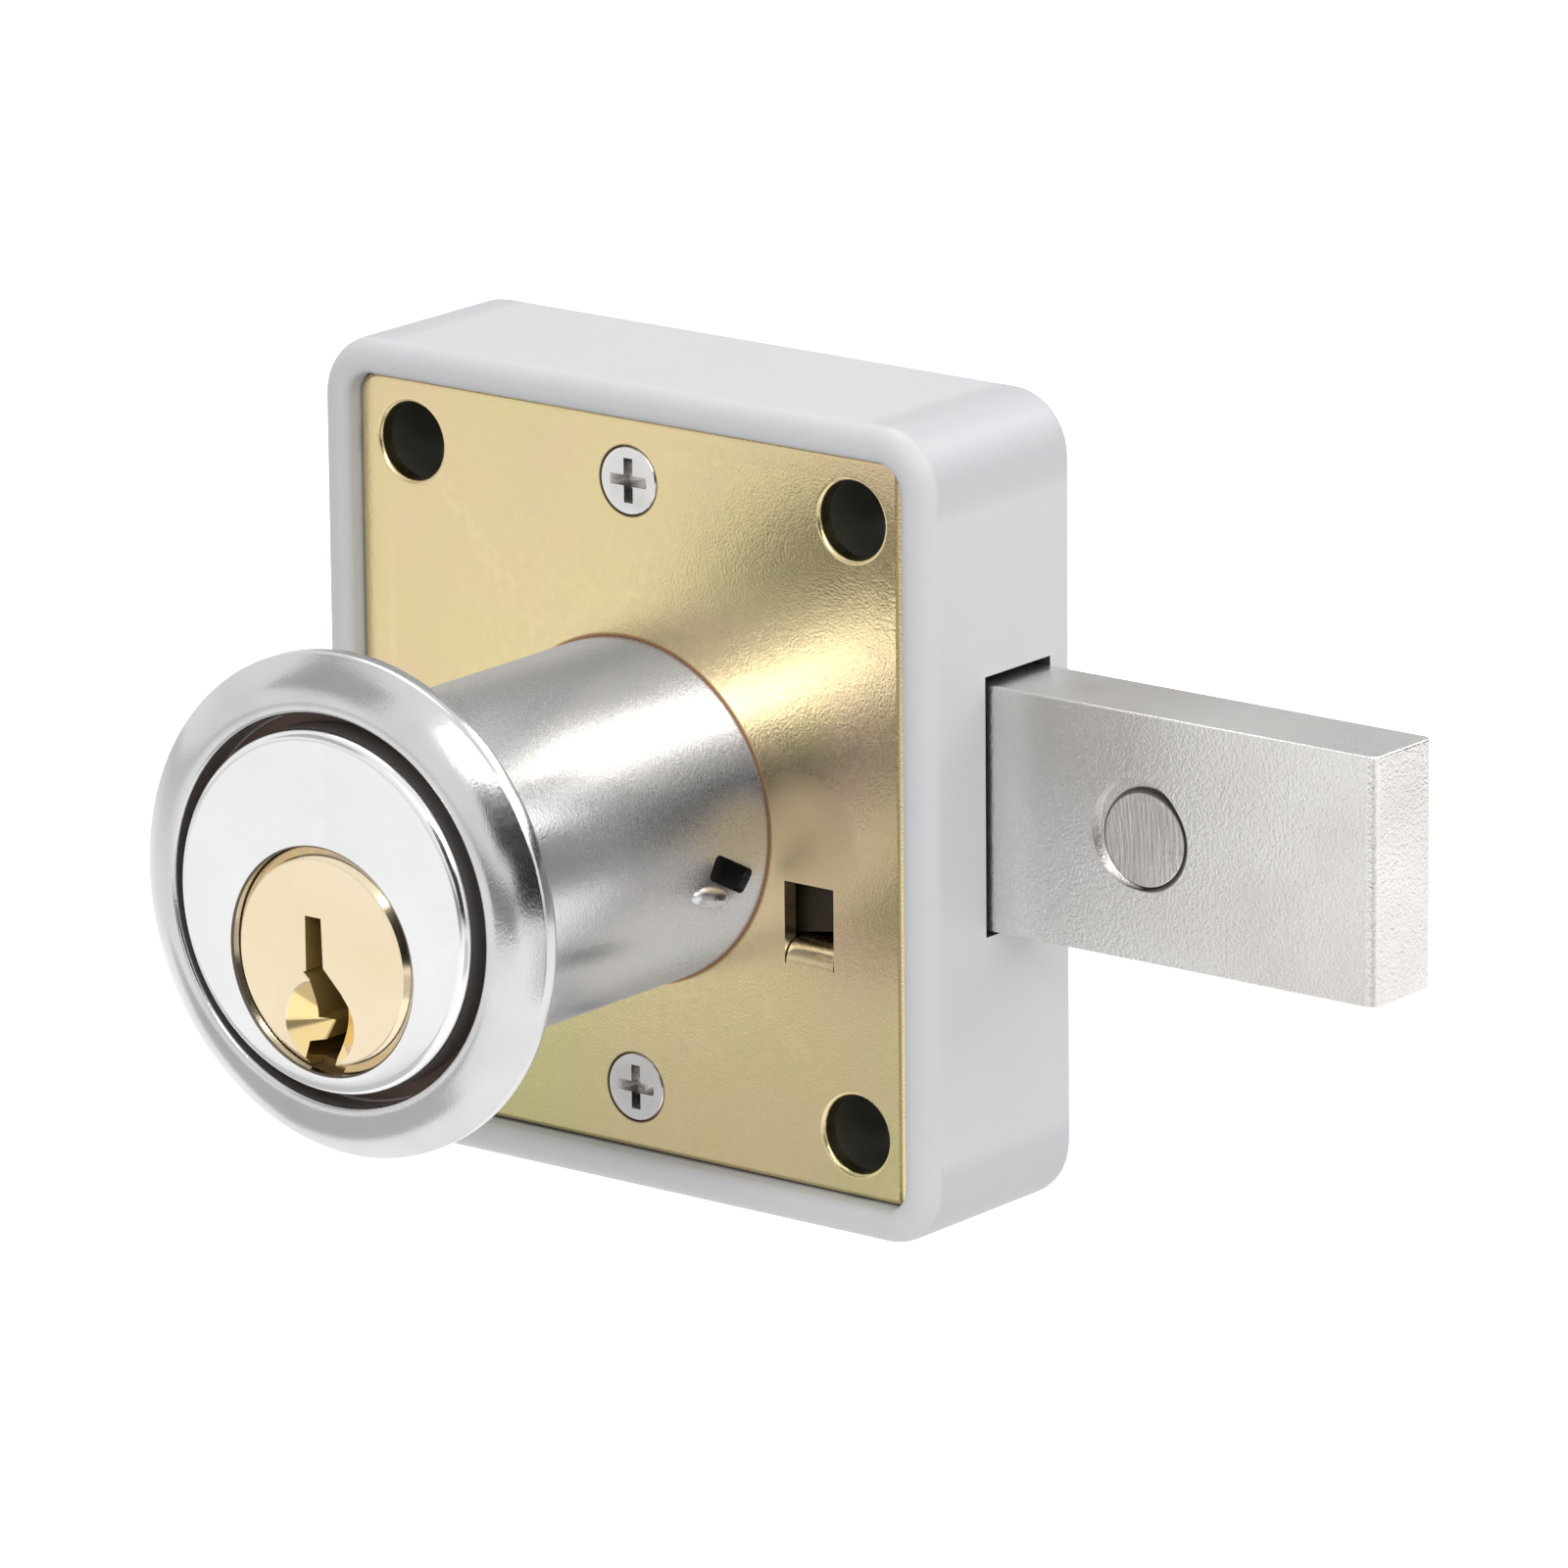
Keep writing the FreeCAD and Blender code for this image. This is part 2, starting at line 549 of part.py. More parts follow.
def make_tail_screw():
    """Low-head screw that holds the arm on the tang."""
    head_end = arm_back + TAIL_SCREW_HEAD_T
    head = bar_y(TAIL_SCREW_HEAD_R, arm_back, head_end, 0, plug_z)
    shank = bar_y(TAIL_SCREW_R, arm_back - TAIL_SCREW_LENGTH, arm_back, 0, plug_z)
    half = TAIL_SLOT_WIDTH / 2
    slot = block(-half, half, head_end - TAIL_SLOT_DEPTH, head_end + PAST, plug_z - TAIL_SCREW_HEAD_R,
                 plug_z + TAIL_SCREW_HEAD_R)
    return head.fuse(shank).cut(slot)


def make_bolt():
    """Deadbolt: rounded bar, taller head inside the case, crank pocket and pin hole."""
    bar = block(bolt_head_left, bolt_tip, bolt_front, bolt_back, BOLT_BOTTOM_Z, bolt_top)
    bar = bar.makeFillet(BOLT_EDGE_R, bar.Edges)
    head = block(bolt_head_left, bolt_head_right, bolt_front, bolt_back, bolt_head_bottom, bolt_head_top)
    head = head.makeFillet(BOLT_EDGE_R, edges_along(head, ALONG_Y))
    bolt = bar.fuse(head)
    centre = Vector(CRANK_R, bolt_front - PAST, pocket_z)
    upper_end = centre + Vector(0, 0, POCKET_HALF_HEIGHT)
    side_end = centre + Vector(POCKET_HALF_WIDTH, 0, 0)
    outline = Part.Wire([Part.Ellipse(upper_end, side_end, centre).toShape()])
    pocket = Part.Face(outline).extrude(Vector(0, PAST + BOLT_T - BOLT_WEB, 0))
    pin_hole = bar_y(BOLT_PIN_R, bolt_front - PAST, bolt_back + PAST, bolt_pin_x, bolt_pin_z)
    sink = bar_y(BOLT_PIN_SINK_R, bolt_front - PAST, bolt_front + BOLT_PIN_SINK_DEPTH,
                 bolt_pin_x - BOLT_PIN_SINK_SHIFT, bolt_pin_z + BOLT_PIN_SINK_SHIFT / 2)
    return bolt.cut(pocket).cut(pin_hole.fuse(sink)).removeSplitter()


def make_bolt_pin():
    """Round pin pressed flush through the bolt."""
    return bar_y(BOLT_PIN_R, bolt_front, bolt_back, bolt_pin_x, bolt_pin_z)


def make_trim_ring():
    """Domed loose ring: recess for the cylinder head in front, hole for the sleeve behind."""
    hole_r = SLEEVE_R + RING_HOLE_GAP
    recess_r = HEAD_R + RING_RECESS_GAP
    crest_r = recess_r + RING_CREST_WIDTH
    rim_front = ring_back - RING_RIM_T
    lip_y = ring_crest + RING_CREST_WIDTH / 2
    dome_r = (RING_R + crest_r) / 2
    dome_y = (rim_front + ring_crest) / 2
    bulge = (RING_R - crest_r) / 6
    corners = [
        (crest_r, ring_crest),
        (recess_r, lip_y),
        (recess_r, ring_floor_front),
        (hole_r, ring_floor_front),
        (hole_r, ring_back),
        (RING_R - RING_EDGE, ring_back),
        (RING_R, ring_back - RING_EDGE),
    ]
    section = [Vector(radius, y, 0) for radius, y in corners]
    dome = Part.Arc(Vector(RING_R, rim_front, 0), Vector(dome_r + bulge, dome_y - bulge, 0), section[0])
    section += dome.toShape().discretize(RING_DOME_BANDS + 1)
    return Part.Face(Part.makePolygon(section)).revolve(Vector(0, 0, 0), ALONG_Y, 360)


def make_all():
    """Return every piece by the name of its node."""
    pieces = {
        "lock_case": make_case(),
        "cover_plate": make_cover_plate(),
        "barrel_sleeve": make_sleeve(),
        "cylinder_housing": make_housing(),
        "chamber_cover": make_chamber_cover(),
        "cylinder_plug": make_plug(),
        "plug_clip": make_plug_clip(),
        "crank_arm": make_crank_arm(),
        "crank_pin": make_crank_pin(),
        "tail_screw": make_tail_screw(),
        "bolt": make_bolt(),
        "bolt_pin": make_bolt_pin(),
        "trim_ring": make_trim_ring(),
    }
    for name, z in screw_places:
        pieces["cover_plate_screw_" + name] = make_plate_screw(z)
    for index in range(PIN_COUNT):
        number = str(index + 1)
        pieces["key_pin_" + number] = make_key_pin(index)
        pieces["driver_pin_" + number] = make_driver_pin(index)
        pieces["pin_spring_" + number] = make_pin_spring(index)
    return pieces


os.makedirs("parts", exist_ok=True)
for node, shape in make_all().items():
    solids = shape.Solids
    print(node, "solids", len(solids), "valid", shape.isValid(), "volume", round(shape.Volume, 2))
    piece = solids[0] if len(solids) == 1 else shape
    piece.exportStep("parts/" + node + ".step")
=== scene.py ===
"""Furniture rim lock: its pieces, their finishes and a plain studio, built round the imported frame."""

import json
import logging
import math
from collections.abc import Callable, Iterable, Iterator, Sequence
from contextlib import contextmanager
from dataclasses import dataclass
from enum import Enum
from typing import Any

import bmesh
import bpy
from mathutils import Matrix, Vector

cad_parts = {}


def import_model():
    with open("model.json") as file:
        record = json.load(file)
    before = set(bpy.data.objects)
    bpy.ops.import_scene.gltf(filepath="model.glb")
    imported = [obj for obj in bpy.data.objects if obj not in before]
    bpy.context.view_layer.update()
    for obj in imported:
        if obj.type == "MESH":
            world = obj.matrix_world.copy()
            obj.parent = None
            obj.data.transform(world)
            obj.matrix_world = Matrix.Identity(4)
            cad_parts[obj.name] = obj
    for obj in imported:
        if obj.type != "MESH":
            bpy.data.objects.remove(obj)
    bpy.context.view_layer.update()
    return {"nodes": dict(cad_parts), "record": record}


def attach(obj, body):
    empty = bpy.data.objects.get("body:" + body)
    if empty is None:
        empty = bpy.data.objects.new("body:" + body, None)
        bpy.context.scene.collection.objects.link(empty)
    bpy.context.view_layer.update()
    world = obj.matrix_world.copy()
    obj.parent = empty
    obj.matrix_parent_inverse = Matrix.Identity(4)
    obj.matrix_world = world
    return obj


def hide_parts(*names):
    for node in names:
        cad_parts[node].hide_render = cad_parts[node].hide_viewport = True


Thing = bpy.types.Object
Socket = bpy.types.NodeSocket
Material = bpy.types.Material
Pair = tuple[float, float]
Point = tuple[float, float, float]
Colour = tuple[float, float, float, float]
Station = tuple[float, ...]
Panel = tuple[str, Point, Pair, float]
Test = Callable[[Any], bool]

MM = 0.001
MICRON = 0.000001
HAIR = 0.0000005
QUARTER = math.pi / 2
SMOOTH_ANGLE = math.radians(32)
FACING = 0.9  # least part of a normal along the axis that its face looks along
SIDEWAYS = 0.2  # largest part of a normal along an axis that its face runs along
FOLDED = 0.5  # angle in radians above which two faces meet at an edge, not at a facet
BORE_SIDES = 56
PIN_SIDES = 96
TUBE_SIDES = 160

log = logging.getLogger("rim_lock")


class Body(Enum):
    """Moving bodies of the frame that pieces ride on."""

    LOCK = "lock_body"
    PLUG = "plug"
    BOLT = "bolt"
    RING = "trim_ring"
    DRIVER_1 = "driver_1"
    DRIVER_2 = "driver_2"
    DRIVER_3 = "driver_3"
    DRIVER_4 = "driver_4"
    DRIVER_5 = "driver_5"


class Cut(Enum):
    """How one solid acts on another."""

    TAKE_AWAY = "DIFFERENCE"
    ADD = "UNION"
    KEEP = "INTERSECT"


class Parts(Enum):
    """Parts of a mesh that can be selected."""

    VERTS = "VERT"
    EDGES = "EDGE"
    FACES = "FACE"


class Axis(Enum):
    """Ways that a bar can run, with the turn that lays it so."""

    X = (0, QUARTER, 0)
    Y = (QUARTER, 0, 0)
    Z = (0, 0, 0)


# ---- Bench tools: thin wrappers round the mesh operators


def mm(*values: float) -> tuple[float, ...]:
    """Turn millimetres into metres."""
    return tuple(value * MM for value in values)


def clear_selection() -> None:
    """Leave edit mode and deselect every object."""
    if bpy.context.object and bpy.context.object.mode != "OBJECT":
        bpy.ops.object.mode_set(mode="OBJECT")
    bpy.ops.object.select_all(action="DESELECT")


def pick(piece: Thing) -> None:
    """Make one object the only selected and active one.

    Args:
        piece: The object.
    """
    clear_selection()
    piece.select_set(True)
    bpy.context.view_layer.objects.active = piece


def settle(piece: Thing) -> None:
    """Bake an object's place, turn and size into its mesh."""
    pick(piece)
    bpy.ops.object.transform_apply(location=True, rotation=True, scale=True)


def named(name: str) -> Thing:
    """Name the active object and its mesh and bake its place.

    Args:
        name: The name.

    Returns:
        The object.
    """
    piece = bpy.context.object
    piece.name = name
    piece.data.name = name
    settle(piece)
    return piece


@contextmanager
def editing(piece: Thing, parts: Parts = Parts.FACES) -> Iterator[None]:
    """Keep a piece in edit mode, with nothing selected at first.

    Args:
        piece: The object to edit.
        parts: What can be selected there.

    Returns:
        Nothing for the block that works on the piece.
    """
    pick(piece)
    bpy.ops.object.mode_set(mode="EDIT")
    bpy.ops.mesh.select_mode(type=parts.value)
    bpy.ops.mesh.select_all(action="DESELECT")
    yield
    bpy.ops.object.mode_set(mode="OBJECT")


def choose(piece: Thing, parts: Parts, wanted: Test) -> int:
    """Select the edges or faces that pass a test, in edit mode.

    Args:
        piece: The object in edit mode.
        parts: Which of them are tried.
        wanted: Test on one of them.

    Returns:
        How many pass.
    """
    mesh = bmesh.from_edit_mesh(piece.data)
    chosen = [part for part in getattr(mesh, parts.name.lower()) if wanted(part)]
    for part in chosen:
        part.select_set(True)
    mesh.select_flush_mode()
    bmesh.update_edit_mesh(piece.data)
    return len(chosen)


def close_skin() -> None:
    """Select a whole mesh in edit mode, merge its doubled corners and turn its faces outwards."""
    bpy.ops.mesh.select_all(action="SELECT")
    bpy.ops.mesh.remove_doubles(threshold=HAIR)
    bpy.ops.mesh.normals_make_consistent(inside=False)


def round_edges(piece: Thing, wanted: Test, radius: float, steps: int) -> None:
    """Round the edges of a piece that pass a test.

    Args:
        piece: The object to work on.
        wanted: Test on a mesh edge.
        radius: Width of the rounding.
        steps: Number of strips in it.
    """
    with editing(piece, Parts.EDGES):
        if choose(piece, Parts.EDGES, wanted):
            bpy.ops.mesh.bevel(offset=radius, segments=steps, affect="EDGES", clamp_overlap=False)


def lies_at(edge: Any, axis: int, place: float) -> bool:
    """Tell whether an edge lies in the plane at a place along X, Y or Z (0, 1 or 2)."""
    return all(abs(vert.co[axis] - place) < HAIR for vert in edge.verts)


def runs_along(edge: Any, axis: int) -> bool:
    """Tell whether an edge runs along X, Y or Z (0, 1 or 2)."""
    run = edge.verts[1].co - edge.verts[0].co
    return abs(run[axis]) > 0.999 * run.length


def is_folded(edge: Any) -> bool:
    """Tell whether two faces meet at an edge and not at a facet of a rounding."""
    return edge.calc_face_angle(0.0) > FOLDED


def block(name: str, low: Sequence[float], high: Sequence[float]) -> Thing:
    """Make a block.

    Args:
        name: Name of the object.
        low: Its lowest corner.
        high: Its highest corner.

    Returns:
        The block.
    """
    centre = [(a + b) / 2 for a, b in zip(low, high)]
    clear_selection()
    bpy.ops.mesh.primitive_cube_add(size=1, location=centre, scale=[b - a for a, b in zip(low, high)])
    return named(name)


def bar(name: str, radius: float, ends: Pair, across: Pair, sides: int, far_radius: float | None = None,
        axis: Axis = Axis.Y) -> Thing:
    """Make a round bar, or a cone along Y.

    Args:
        name: Name of the object.
        radius: Radius at its start.
        ends: Where it starts and ends along its axis.
        across: Place of its axis along the two others, in the order of X, Y and Z.
        sides: Number of sides.
        far_radius: Radius at its end, if it differs.
        axis: The way it runs.

    Returns:
        The bar.
    """
    place = list(across)
    place.insert("XYZ".index(axis.name), (ends[0] + ends[1]) / 2)
    clear_selection()
    bpy.ops.mesh.primitive_cone_add(
        vertices=sides, radius1=radius if far_radius is None else far_radius, radius2=radius,
        depth=ends[1] - ends[0], location=place, rotation=axis.value)
    return named(name)


def cut_out(name: str, corners: Sequence[Pair], start: float, end: float) -> Thing:
    """Make a block along Y with a many-cornered section.

    Args:
        name: Name of the object.
        corners: Places of the section's corners across X and Z, in order.
        start: Where it starts along Y.
        end: Where it ends along Y.

    Returns:
        The block.
    """
    clear_selection()
    bpy.ops.mesh.primitive_circle_add(vertices=len(corners), radius=MM, location=(0, start, 0),
                                      rotation=Axis.Y.value, fill_type="NGON")
    piece = named(name)
    for number, (x, z) in enumerate(corners):
        with editing(piece, Parts.VERTS):
            mesh = bmesh.from_edit_mesh(piece.data)
            mesh.verts.ensure_lookup_table()
            mesh.verts[number].select_set(True)
            step = Vector((x, start, z)) - mesh.verts[number].co
            bmesh.update_edit_mesh(piece.data)
            bpy.ops.transform.translate(value=step)
    with editing(piece):
        bpy.ops.mesh.select_all(action="SELECT")
        bpy.ops.mesh.extrude_region_move(TRANSFORM_OT_translate={"value": (0, end - start, 0)})
        close_skin()
    return piece


def copied(piece: Thing, name: str, step: Sequence[float]) -> Thing:
    """Copy a piece with its own mesh to another place.

    Args:
        piece: The object to copy.
        name: Name of the copy.
        step: How far the copy is moved.

    Returns:
        The copy.
    """
    pick(piece)
    bpy.ops.object.duplicate(linked=False)
    bpy.ops.transform.translate(value=step)
    return named(name)


def combine(piece: Thing, tools: Iterable[Thing], cut: Cut) -> None:
    """Let solids act on a piece, one after another.

    Args:
        piece: The object that is kept.
        tools: Objects that act on it and are then deleted.
        cut: How they act.
    """
    for tool in tools:
        pick(piece)
        modifier = piece.modifiers.new("cut", "BOOLEAN")
        modifier.object = tool
        modifier.operation = cut.value
        modifier.solver = "EXACT"
        bpy.ops.object.modifier_apply(modifier=modifier.name)
        bpy.data.objects.remove(tool, do_unlink=True)


def turned(name: str, stations: Sequence[Station], sides: int, closed: bool = True, axis_z: float = 0.0) -> Thing:
    """Turn a piece about Y by drawing one ring of edges out from station to station.

    Args:
        name: Name of the object.
        stations: Radius and place along Y of each, and the height of its axis where that isn't axis_z.
        sides: Number of sides of the ring.
        closed: Join the last station to the first; otherwise both ends are capped.
        axis_z: Height of the turning axis.

    Returns:
        The turned piece.
    """
    route = [(*station, axis_z)[:3] for station in stations]
    radius, y, z = route[0]
    clear_selection()
    bpy.ops.mesh.primitive_circle_add(vertices=sides, radius=radius, location=(0, y, z), rotation=Axis.Y.value,
                                      fill_type="NOTHING" if closed else "NGON")
    piece = named(name)
    with editing(piece, Parts.EDGES):
        bpy.ops.mesh.select_all(action="SELECT")
        if not closed:
            bpy.ops.mesh.region_to_loop()
        for next_radius, next_y, next_z in route[1:] + (route[:1] if closed else []):
            bpy.ops.mesh.extrude_edges_move(TRANSFORM_OT_translate={"value": (0, next_y - y, next_z - z)})
            scale = next_radius / radius
            bpy.ops.transform.resize(value=(scale, 1, scale), center_override=(0, next_y, next_z))
            radius, y, z = next_radius, next_y, next_z
        if not closed:
            bpy.ops.mesh.edge_face_add()
        close_skin()
    return piece


def corner_arc(centre: Pair, radius: float, start: float, end: float, steps: int) -> list[Pair]:
    """Give stations round an arc of a turned piece's section.

    Args:
        centre: Radius and place along Y of the arc's centre.
        radius: The arc's own radius.
        start: Angle in degrees, from outwards towards +Y.
        end: Angle of the last station.
        steps: Number of strips.

    Returns:
        The stations in order.
    """
    angles = [math.radians(start + (end - start) * step / steps) for step in range(steps + 1)]
    return [(centre[0] + radius * math.cos(a), centre[1] + radius * math.sin(a)) for a in angles]


def finish_mesh(piece: Thing, angle: float = SMOOTH_ANGLE) -> Thing:
    """Clean a finished mesh and shade it smooth with crisp corners.

    Args:
        piece: The object to finish.
        angle: Edges sharper than this stay crisp.

    Returns:
        The same object.
    """
    with editing(piece, Parts.VERTS):
        bpy.ops.mesh.select_all(action="SELECT")
        bpy.ops.mesh.remove_doubles(threshold=HAIR)
        bpy.ops.mesh.dissolve_degenerate(threshold=HAIR)
    bpy.ops.object.shade_smooth_by_angle(angle=angle)
    weighted = piece.modifiers.new("even", "WEIGHTED_NORMAL")
    weighted.keep_sharp = True
    bpy.ops.object.modifier_apply(modifier=weighted.name)
    return piece


# ---- Shader tools


class Draft:
    """Short way to lay out nodes in a tree."""

    def __init__(self, tree: bpy.types.NodeTree) -> None:
        """Keep the tree that nodes are added to."""
        self.tree = tree

    def add(self, kind: str, inputs: dict[Any, Any] | None = None, **settings: Any) -> bpy.types.Node:
        """Add a node, set its options and fill or link its inputs.

        Args:
            kind: Node type without the ShaderNode prefix.
            inputs: Values or output sockets by input name or number.
            settings: Options of the node.

        Returns:
            The new node.
        """
        node = self.tree.nodes.new("ShaderNode" + kind)
        for key, value in settings.items():
            setattr(node, key, value)
        for key, value in (inputs or {}).items():
            if isinstance(value, Socket):
                self.tree.links.new(value, node.inputs[key])
            else:
                node.inputs[key].default_value = value
        return node

    def maths(self, operation: str, *values: Any) -> Socket:
        """Add a Math node and return its result."""
        return self.add("Math", dict(enumerate(values)), operation=operation).outputs[0]

    def mix(self, share: Any, first: Any, second: Any) -> Socket:
        """Mix two values by a share and return the value."""
        return self.add("Mix", {0: share, 2: first, 3: second}).outputs[0]

    def blend(self, share: Any, first: Any, second: Any) -> Socket:
        """Mix two colours by a share and return the colour."""
        return self.add("Mix", {0: share, 6: first, 7: second}, data_type="RGBA").outputs[2]

    def spread(self, value: Any, low: float, high: float, to_low: float = 0, to_high: float = 1) -> Socket:
        """Map a value from one range to another and return it."""
        names = {"Value": value, "From Min": low, "From Max": high, "To Min": to_low, "To Max": to_high}
        return self.add("MapRange", names).outputs[0]

    def noise(self, place: Any, scale: Any, detail: float) -> Socket:
        """Add a noise pattern and return its value."""
        return self.add("TexNoise", {"Vector": place, "Scale": scale, "Detail": detail}).outputs[0]


def emptied(owner: Any) -> Draft:
    """Empty the node tree of a material or world.

    Args:
        owner: The material or world.

    Returns:
        A draft of its tree.
    """
    owner.use_nodes = True
    owner.node_tree.nodes.clear()
    return Draft(owner.node_tree)


class Group(Draft):
    """Draft of a node group with named sockets, of which the first is a place."""

    def __init__(self, name: str, floats: Sequence[str], colours: Sequence[str] = (), gives: str = "Mask") -> None:
        """Start the group and make its sockets.

        Args:
            name: Name of the group.
            floats: Names of the inputs that are numbers.
            colours: Names of the inputs that are colours; with them the group also gives a colour.
            gives: Name of the number that it gives.
        """
        super().__init__(bpy.data.node_groups.new(name, "ShaderNodeTree"))
        inputs = {"Vector": "Vector"} | dict.fromkeys(floats, "Float") | dict.fromkeys(colours, "Color")
        outputs = ({"Color": "Color"} if colours else {}) | {gives: "Float"}
        for way, sockets in (("INPUT", inputs), ("OUTPUT", outputs)):
            for label, kind in sockets.items():
                self.tree.interface.new_socket(label, in_out=way, socket_type="NodeSocket" + kind)
        self.given = self.tree.nodes.new("NodeGroupInput")
        self.out = self.tree.nodes.new("NodeGroupOutput")

    def give(self, **values: Socket) -> bpy.types.NodeTree:
        """Put values out of the group.

        Args:
            values: Output sockets by the name of the group's output.

        Returns:
            The finished group.
        """
        for label, value in values.items():
            self.tree.links.new(value, self.out.inputs[label])
        return self.tree


class Effects:
    """Node groups that several finishes share."""

    zone_inputs: tuple[str, ...] = (
        "Centre X", "Centre Z", "Fold X", "Fold Z", "Inner", "Outer", "Front", "Back", "Soft")

    def __init__(self) -> None:
        """Build each group once."""
        self.grain = self.make_grain()
        self.drift = self.make_drift()
        self.turning = self.make_turning()
        self.rub = self.make_rub()
        self.zone = self.make_zone()

    def make_grain(self) -> bpy.types.NodeTree:
        """Make the fine and coarse grain of a metal or painted skin, as a height.

        Returns:
            The group.
        """
        group = Group("surface_grain", ("Fine", "Coarse", "Balance"), gives="Height")
        take = group.given.outputs
        fine = group.noise(take["Vector"], take["Fine"], 2.0)
        coarse = group.noise(take["Vector"], take["Coarse"], 3.0)
        return group.give(Height=group.mix(take["Balance"], fine, coarse))

    def make_drift(self) -> bpy.types.NodeTree:
        """Make slow clouds that mix three tints.

        Returns:
            The group.
        """
        group = Group("tint_drift", ("Scale",), ("Main", "Second", "Third"), "Cloud")
        take = group.given.outputs
        cloud = group.noise(take["Vector"], take["Scale"], 2.5)
        other = group.noise(take["Vector"], group.maths("MULTIPLY", take["Scale"], 0.43), 1.5)
        first = group.blend(group.spread(cloud, 0.42, 0.68), take["Main"], take["Second"])
        both = group.blend(group.spread(other, 0.5, 0.72), first, take["Third"])
        return group.give(Color=both, Cloud=cloud)

    def make_turning(self) -> bpy.types.NodeTree:
        """Make fine marks that run round the Y axis, as a height.

        Returns:
            The group.
        """
        group = Group("turning_marks", ("Across", "Round"), gives="Height")
        take = group.given.outputs
        x, y, z = group.add("SeparateXYZ", {0: take["Vector"]}).outputs
        squares = [group.maths("MULTIPLY", value, value) for value in (x, z)]
        radius = group.maths("SQRT", group.maths("ADD", *squares))
        across = group.maths("MULTIPLY", group.maths("ADD", radius, y), take["Across"])
        along = group.maths("MULTIPLY", group.maths("ARCTAN2", z, x), take["Round"])
        place = group.add("CombineXYZ", {0: across, 1: along}).outputs[0]
        return group.give(Height=group.noise(place, 1.0, 3.0))

    def make_rub(self) -> bpy.types.NodeTree:
        """Make the mask of convex edges, where a finish is rubbed brighter.

        Returns:
            The group.
        """
        group = Group("edge_rub", ("Break",))
        take = group.given.outputs
        edge = group.spread(group.add("NewGeometry").outputs["Pointiness"], 0.51, 0.58)
        patch = group.spread(group.noise(take["Vector"], take["Break"], 3.0), 0.35, 0.65)
        return group.give(Mask=group.maths("MULTIPLY", edge, patch))

    def make_zone(self) -> bpy.types.NodeTree:
        """Make the mask of a round zone about an axis along Y, folded over for holes that lie in mirror.

        Returns:
            The group.
        """
        group = Group("round_zone", self.zone_inputs)
        take = group.given.outputs
        x, y, z = group.add("SeparateXYZ", {0: take["Vector"]}).outputs
        squares = []
        for value, side in ((x, "X"), (z, "Z")):
            away = group.maths("ABSOLUTE", group.maths("SUBTRACT", value, take["Centre " + side]))
            folded = group.maths("SUBTRACT", away, take["Fold " + side])
            squares.append(group.maths("MULTIPLY", folded, folded))
        radius = group.maths("SQRT", group.maths("ADD", *squares))
        limits = []
        for value, low, high in ((radius, take["Inner"], take["Outer"]), (y, take["Front"], take["Back"])):
            above = group.maths("DIVIDE", group.maths("SUBTRACT", value, low), take["Soft"])
            below = group.maths("DIVIDE", group.maths("SUBTRACT", high, value), take["Soft"])
            limits.append(group.maths("MINIMUM", above, below))
        return group.give(Mask=group.add("Clamp", {0: group.maths("MINIMUM", *limits)}).outputs[0])


@dataclass(frozen=True)
class Zone:
    """A round zone of a piece that has another tint, mostly painted shade in a bore, a recess or a gap, in millimetres.
    """

    reach: Pair
    depth: Pair
    soft: float
    tint: Colour
    share: float
    roughness: float
    metallic: float
    centre: Pair = (0.0, 0.0)
    fold: Pair = (0.0, 0.0)

    def mask(self, draft: Draft, effects: Effects, place: Socket) -> Socket:
        """Lay out the zone's mask.

        Args:
            draft: The material's draft.
            effects: The shared node groups.
            place: Place in the object.

        Returns:
            The mask times the zone's share.
        """
        numbers = mm(*self.centre, *self.fold, *self.reach, *self.depth, self.soft)
        inputs = {"Vector": place} | dict(zip(effects.zone_inputs, numbers))
        group = draft.add("Group", inputs, node_tree=effects.zone)
        return draft.maths("MULTIPLY", group.outputs["Mask"], self.share)


